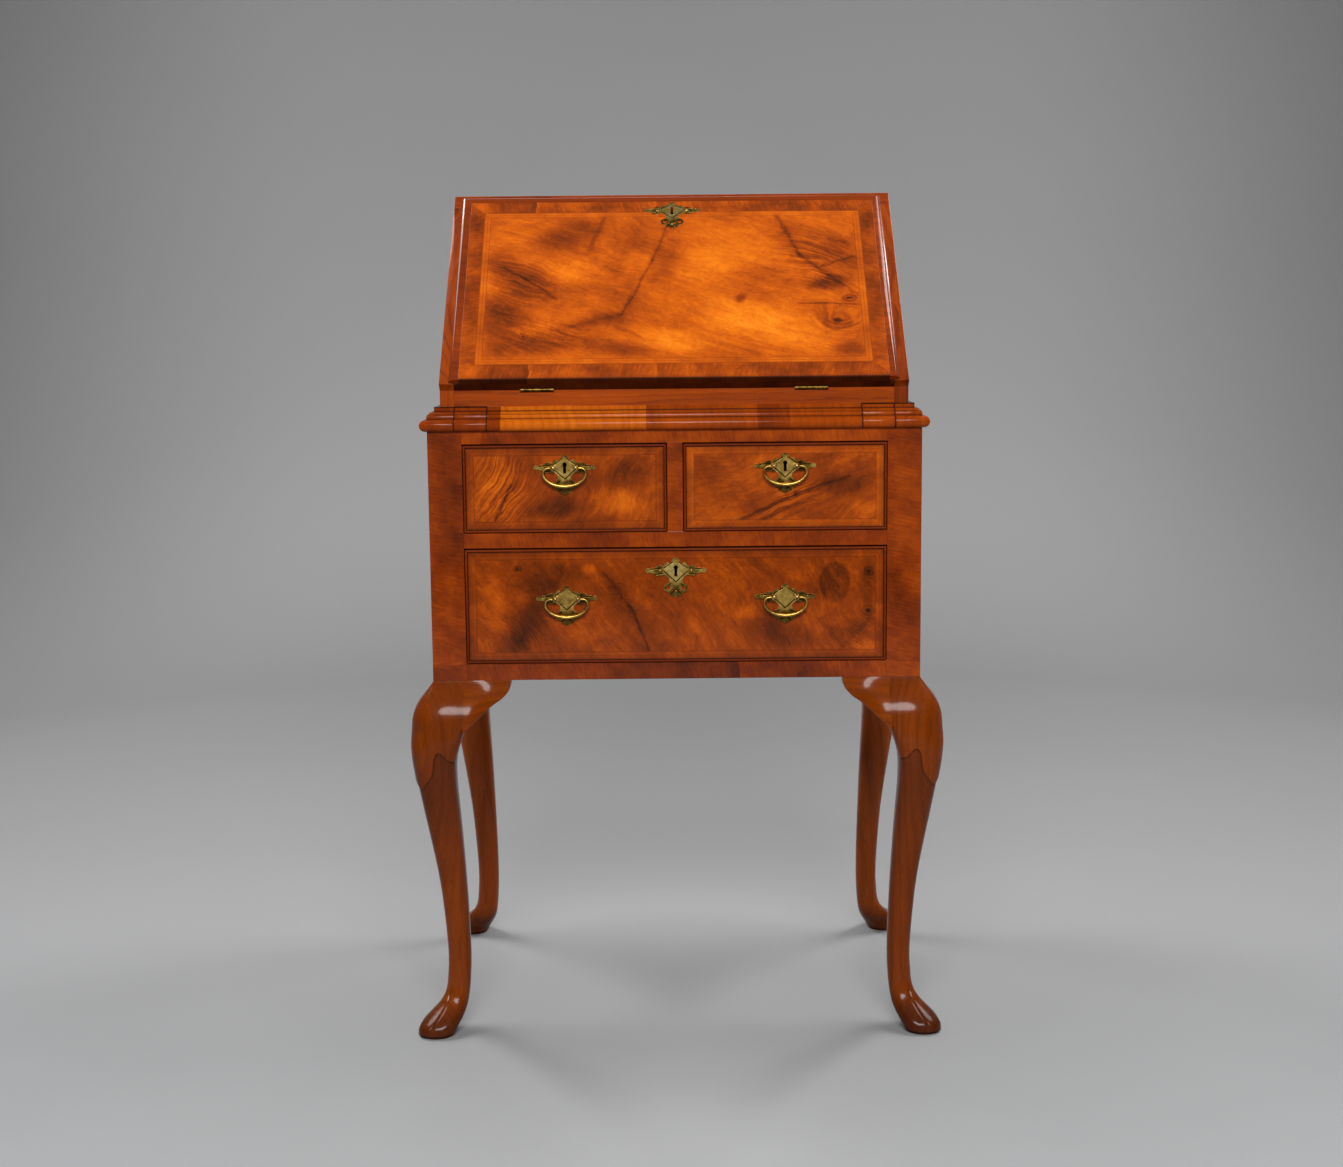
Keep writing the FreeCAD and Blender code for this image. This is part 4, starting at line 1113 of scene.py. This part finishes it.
def pin_plates():
    """The pins of the two key plates and the screws of the hinges."""
    pin_spots, pin_head = ((-18.3, 0.0), (18.3, 0.0), (0.0, -24.5)), (1.6, 1.0)
    spots = [Vector((u, case_front - plate_face, long_key_z + v)) * mm for u, v in pin_spots]
    pins("long_key_plate_pins", "long_drawer", spots, Vector((0, -1, 0)), pin_head)
    spots = [slope_place(u, fall_key_along + v, fall_thickness + plate_face) for u, v in pin_spots]
    pins("fall_key_plate_pins", "fall", spots, slope_out, pin_head)
    screw_pitch, screw_back, screw_head = 13.0, 8.5, (2.2, 0.35)
    screws = [side * hinge_centre + step * screw_pitch for side in (-1, 1) for step in (-1, 0, 1)]
    spots = [Vector((x, desk_front + screw_back, writing_z)) * mm for x in screws]
    pins("desk_hinge_screws", "desk", spots, Vector((0, 0, 1)), screw_head)
    spots = [slope_place(x, screw_back, 0.0) for x in screws]
    pins("fall_hinge_screws", "fall", spots, -slope_out, screw_head)


def make_camera():
    data = bpy.data.cameras.new("camera")
    data.sensor_width = sensor_width
    data.lens = sensor_width * lens_pixels / photo_width
    camera = bpy.data.objects.new("camera", data)
    pitch, yaw, roll = (math.radians(angle) for angle in camera_angles)
    turn = Matrix.Rotation(-yaw, 4, "Z") @ Matrix.Rotation(math.pi / 2 - pitch, 4, "X")
    place = Matrix.Translation(Vector(camera_place) * mm)
    camera.matrix_world = place @ turn @ Matrix.Rotation(-roll, 4, "Z")
    bpy.context.scene.collection.objects.link(camera)
    bpy.context.scene.camera = camera


def backdrop_material():
    material, place = new_material("grey_sweep", specular_ior_level=0.15)
    x, y, z = split(place)
    cloth = noise(place, 0.002, 3.0)
    side = blend(calc("ABSOLUTE", x), 900, 2500)
    floor = ramp(cloth, ((0.3, 156, 157, 158), (0.7, 161, 162, 163)))
    # The floor grows darker behind the object: a painted shadow
    floor = mix(blend(y, -400, 800), floor, srgb(144, 144, 145))
    # The paper darkens toward the sides: painted shade
    paper = mix(side, srgb(182, 182, 183), srgb(122, 122, 123))
    wall = blend(plus(length_of(join(x, y)), z), 1400, 3600)
    return finished(material, mix(wall, floor, paper), 0.7)


def make_stage():
    """A floor that sweeps up into a backdrop behind and beside the object."""
    reach, bend, top, near, bend_steps, turn_steps = 3.4, 1.1, 4.5, -5.0, 16, 32
    bends = [math.pi / 2 * k / bend_steps for k in range(bend_steps + 1)]
    profile = [(reach - bend + bend * math.sin(a), bend - bend * math.cos(a)) for a in bends] + [(reach, top)]
    path = [(math.pi * k / turn_steps, 0.0) for k in range(turn_steps + 1)]
    path = [(0.0, near)] + path + [(math.pi, near)]
    points = [Vector((r * math.cos(turn), r * math.sin(turn) + shift, z))
              for turn, shift in path for r, z in profile]
    count = len(profile)
    faces = [face[::-1] for face in grid_faces(len(path), count, count - 1)]
    faces.append(tuple(k * count for k in range(len(path))))
    piece_of("floor_sweep", points, faces, backdrop_material(), 80)


# Lamps: name, place, height of aim and size in metres, power in watts, roll in degrees
lamps = (
    ("left_box", (-1.7, 0.45, 2.5), 0.8, (1.5, 1.1), 36, 0),
    ("right_box", (1.7, 0.45, 2.5), 0.8, (1.5, 1.1), 34, 0),
    ("left_rim", (-1.5, 1.05, 2.05), 0.9, (1.6, 0.32), 18, 54),
    ("right_rim", (1.5, 1.05, 2.05), 0.9, (1.6, 0.32), 18, -54),
    ("front_fill", (0, -2.8, 2.2), 0.7, (1.8, 1.0), 84, 0),
    ("back_fill", (0, 2.2, 2.6), 0.7, (1.6, 1.0), 9, 0),
)
room_light = 0.07
room_seen = 0.25


def area_light(name, place, aim, size, power, roll):
    data = bpy.data.lights.new(name, "AREA")
    data.shape = "ELLIPSE"
    data.size, data.size_y = size
    data.energy = power
    lamp = bpy.data.objects.new(name, data)
    lamp.location = place
    lamp.visible_camera = False
    turn = (Vector((0, 0, aim)) - Vector(place)).to_track_quat("-Z", "Y").to_matrix()
    lamp.rotation_euler = (turn @ Matrix.Rotation(math.radians(roll), 3, "Z")).to_euler()
    bpy.context.scene.collection.objects.link(lamp)


def light_room():
    """An even grey room, seen brighter by the camera and in reflections than it lights."""
    world = bpy.data.worlds.new("studio")
    world.use_nodes = True
    sky = world.node_tree.nodes["Background"]
    sky.inputs["Color"].default_value = (1, 1, 1, 1)
    rays = new_node(world.node_tree, "LightPath").outputs
    seen = most(rays["Is Camera Ray"], rays["Is Glossy Ray"])
    feed(sky.inputs["Strength"], total(room_light, (room_seen - room_light, seen)))
    bpy.context.scene.world = world


bpy.context.scene.view_settings.view_transform = "Standard"
paint_veneers()
paint_bandings()
paint_walnut()
paint_legs()
paint_linings()
paint_brass()
carve_legs()
smooth_brackets()
line_fall()
pin_plates()
nail_backs()
soften_edges()
make_camera()
make_stage()
for lamp_row in lamps:
    area_light(*lamp_row)
light_room()
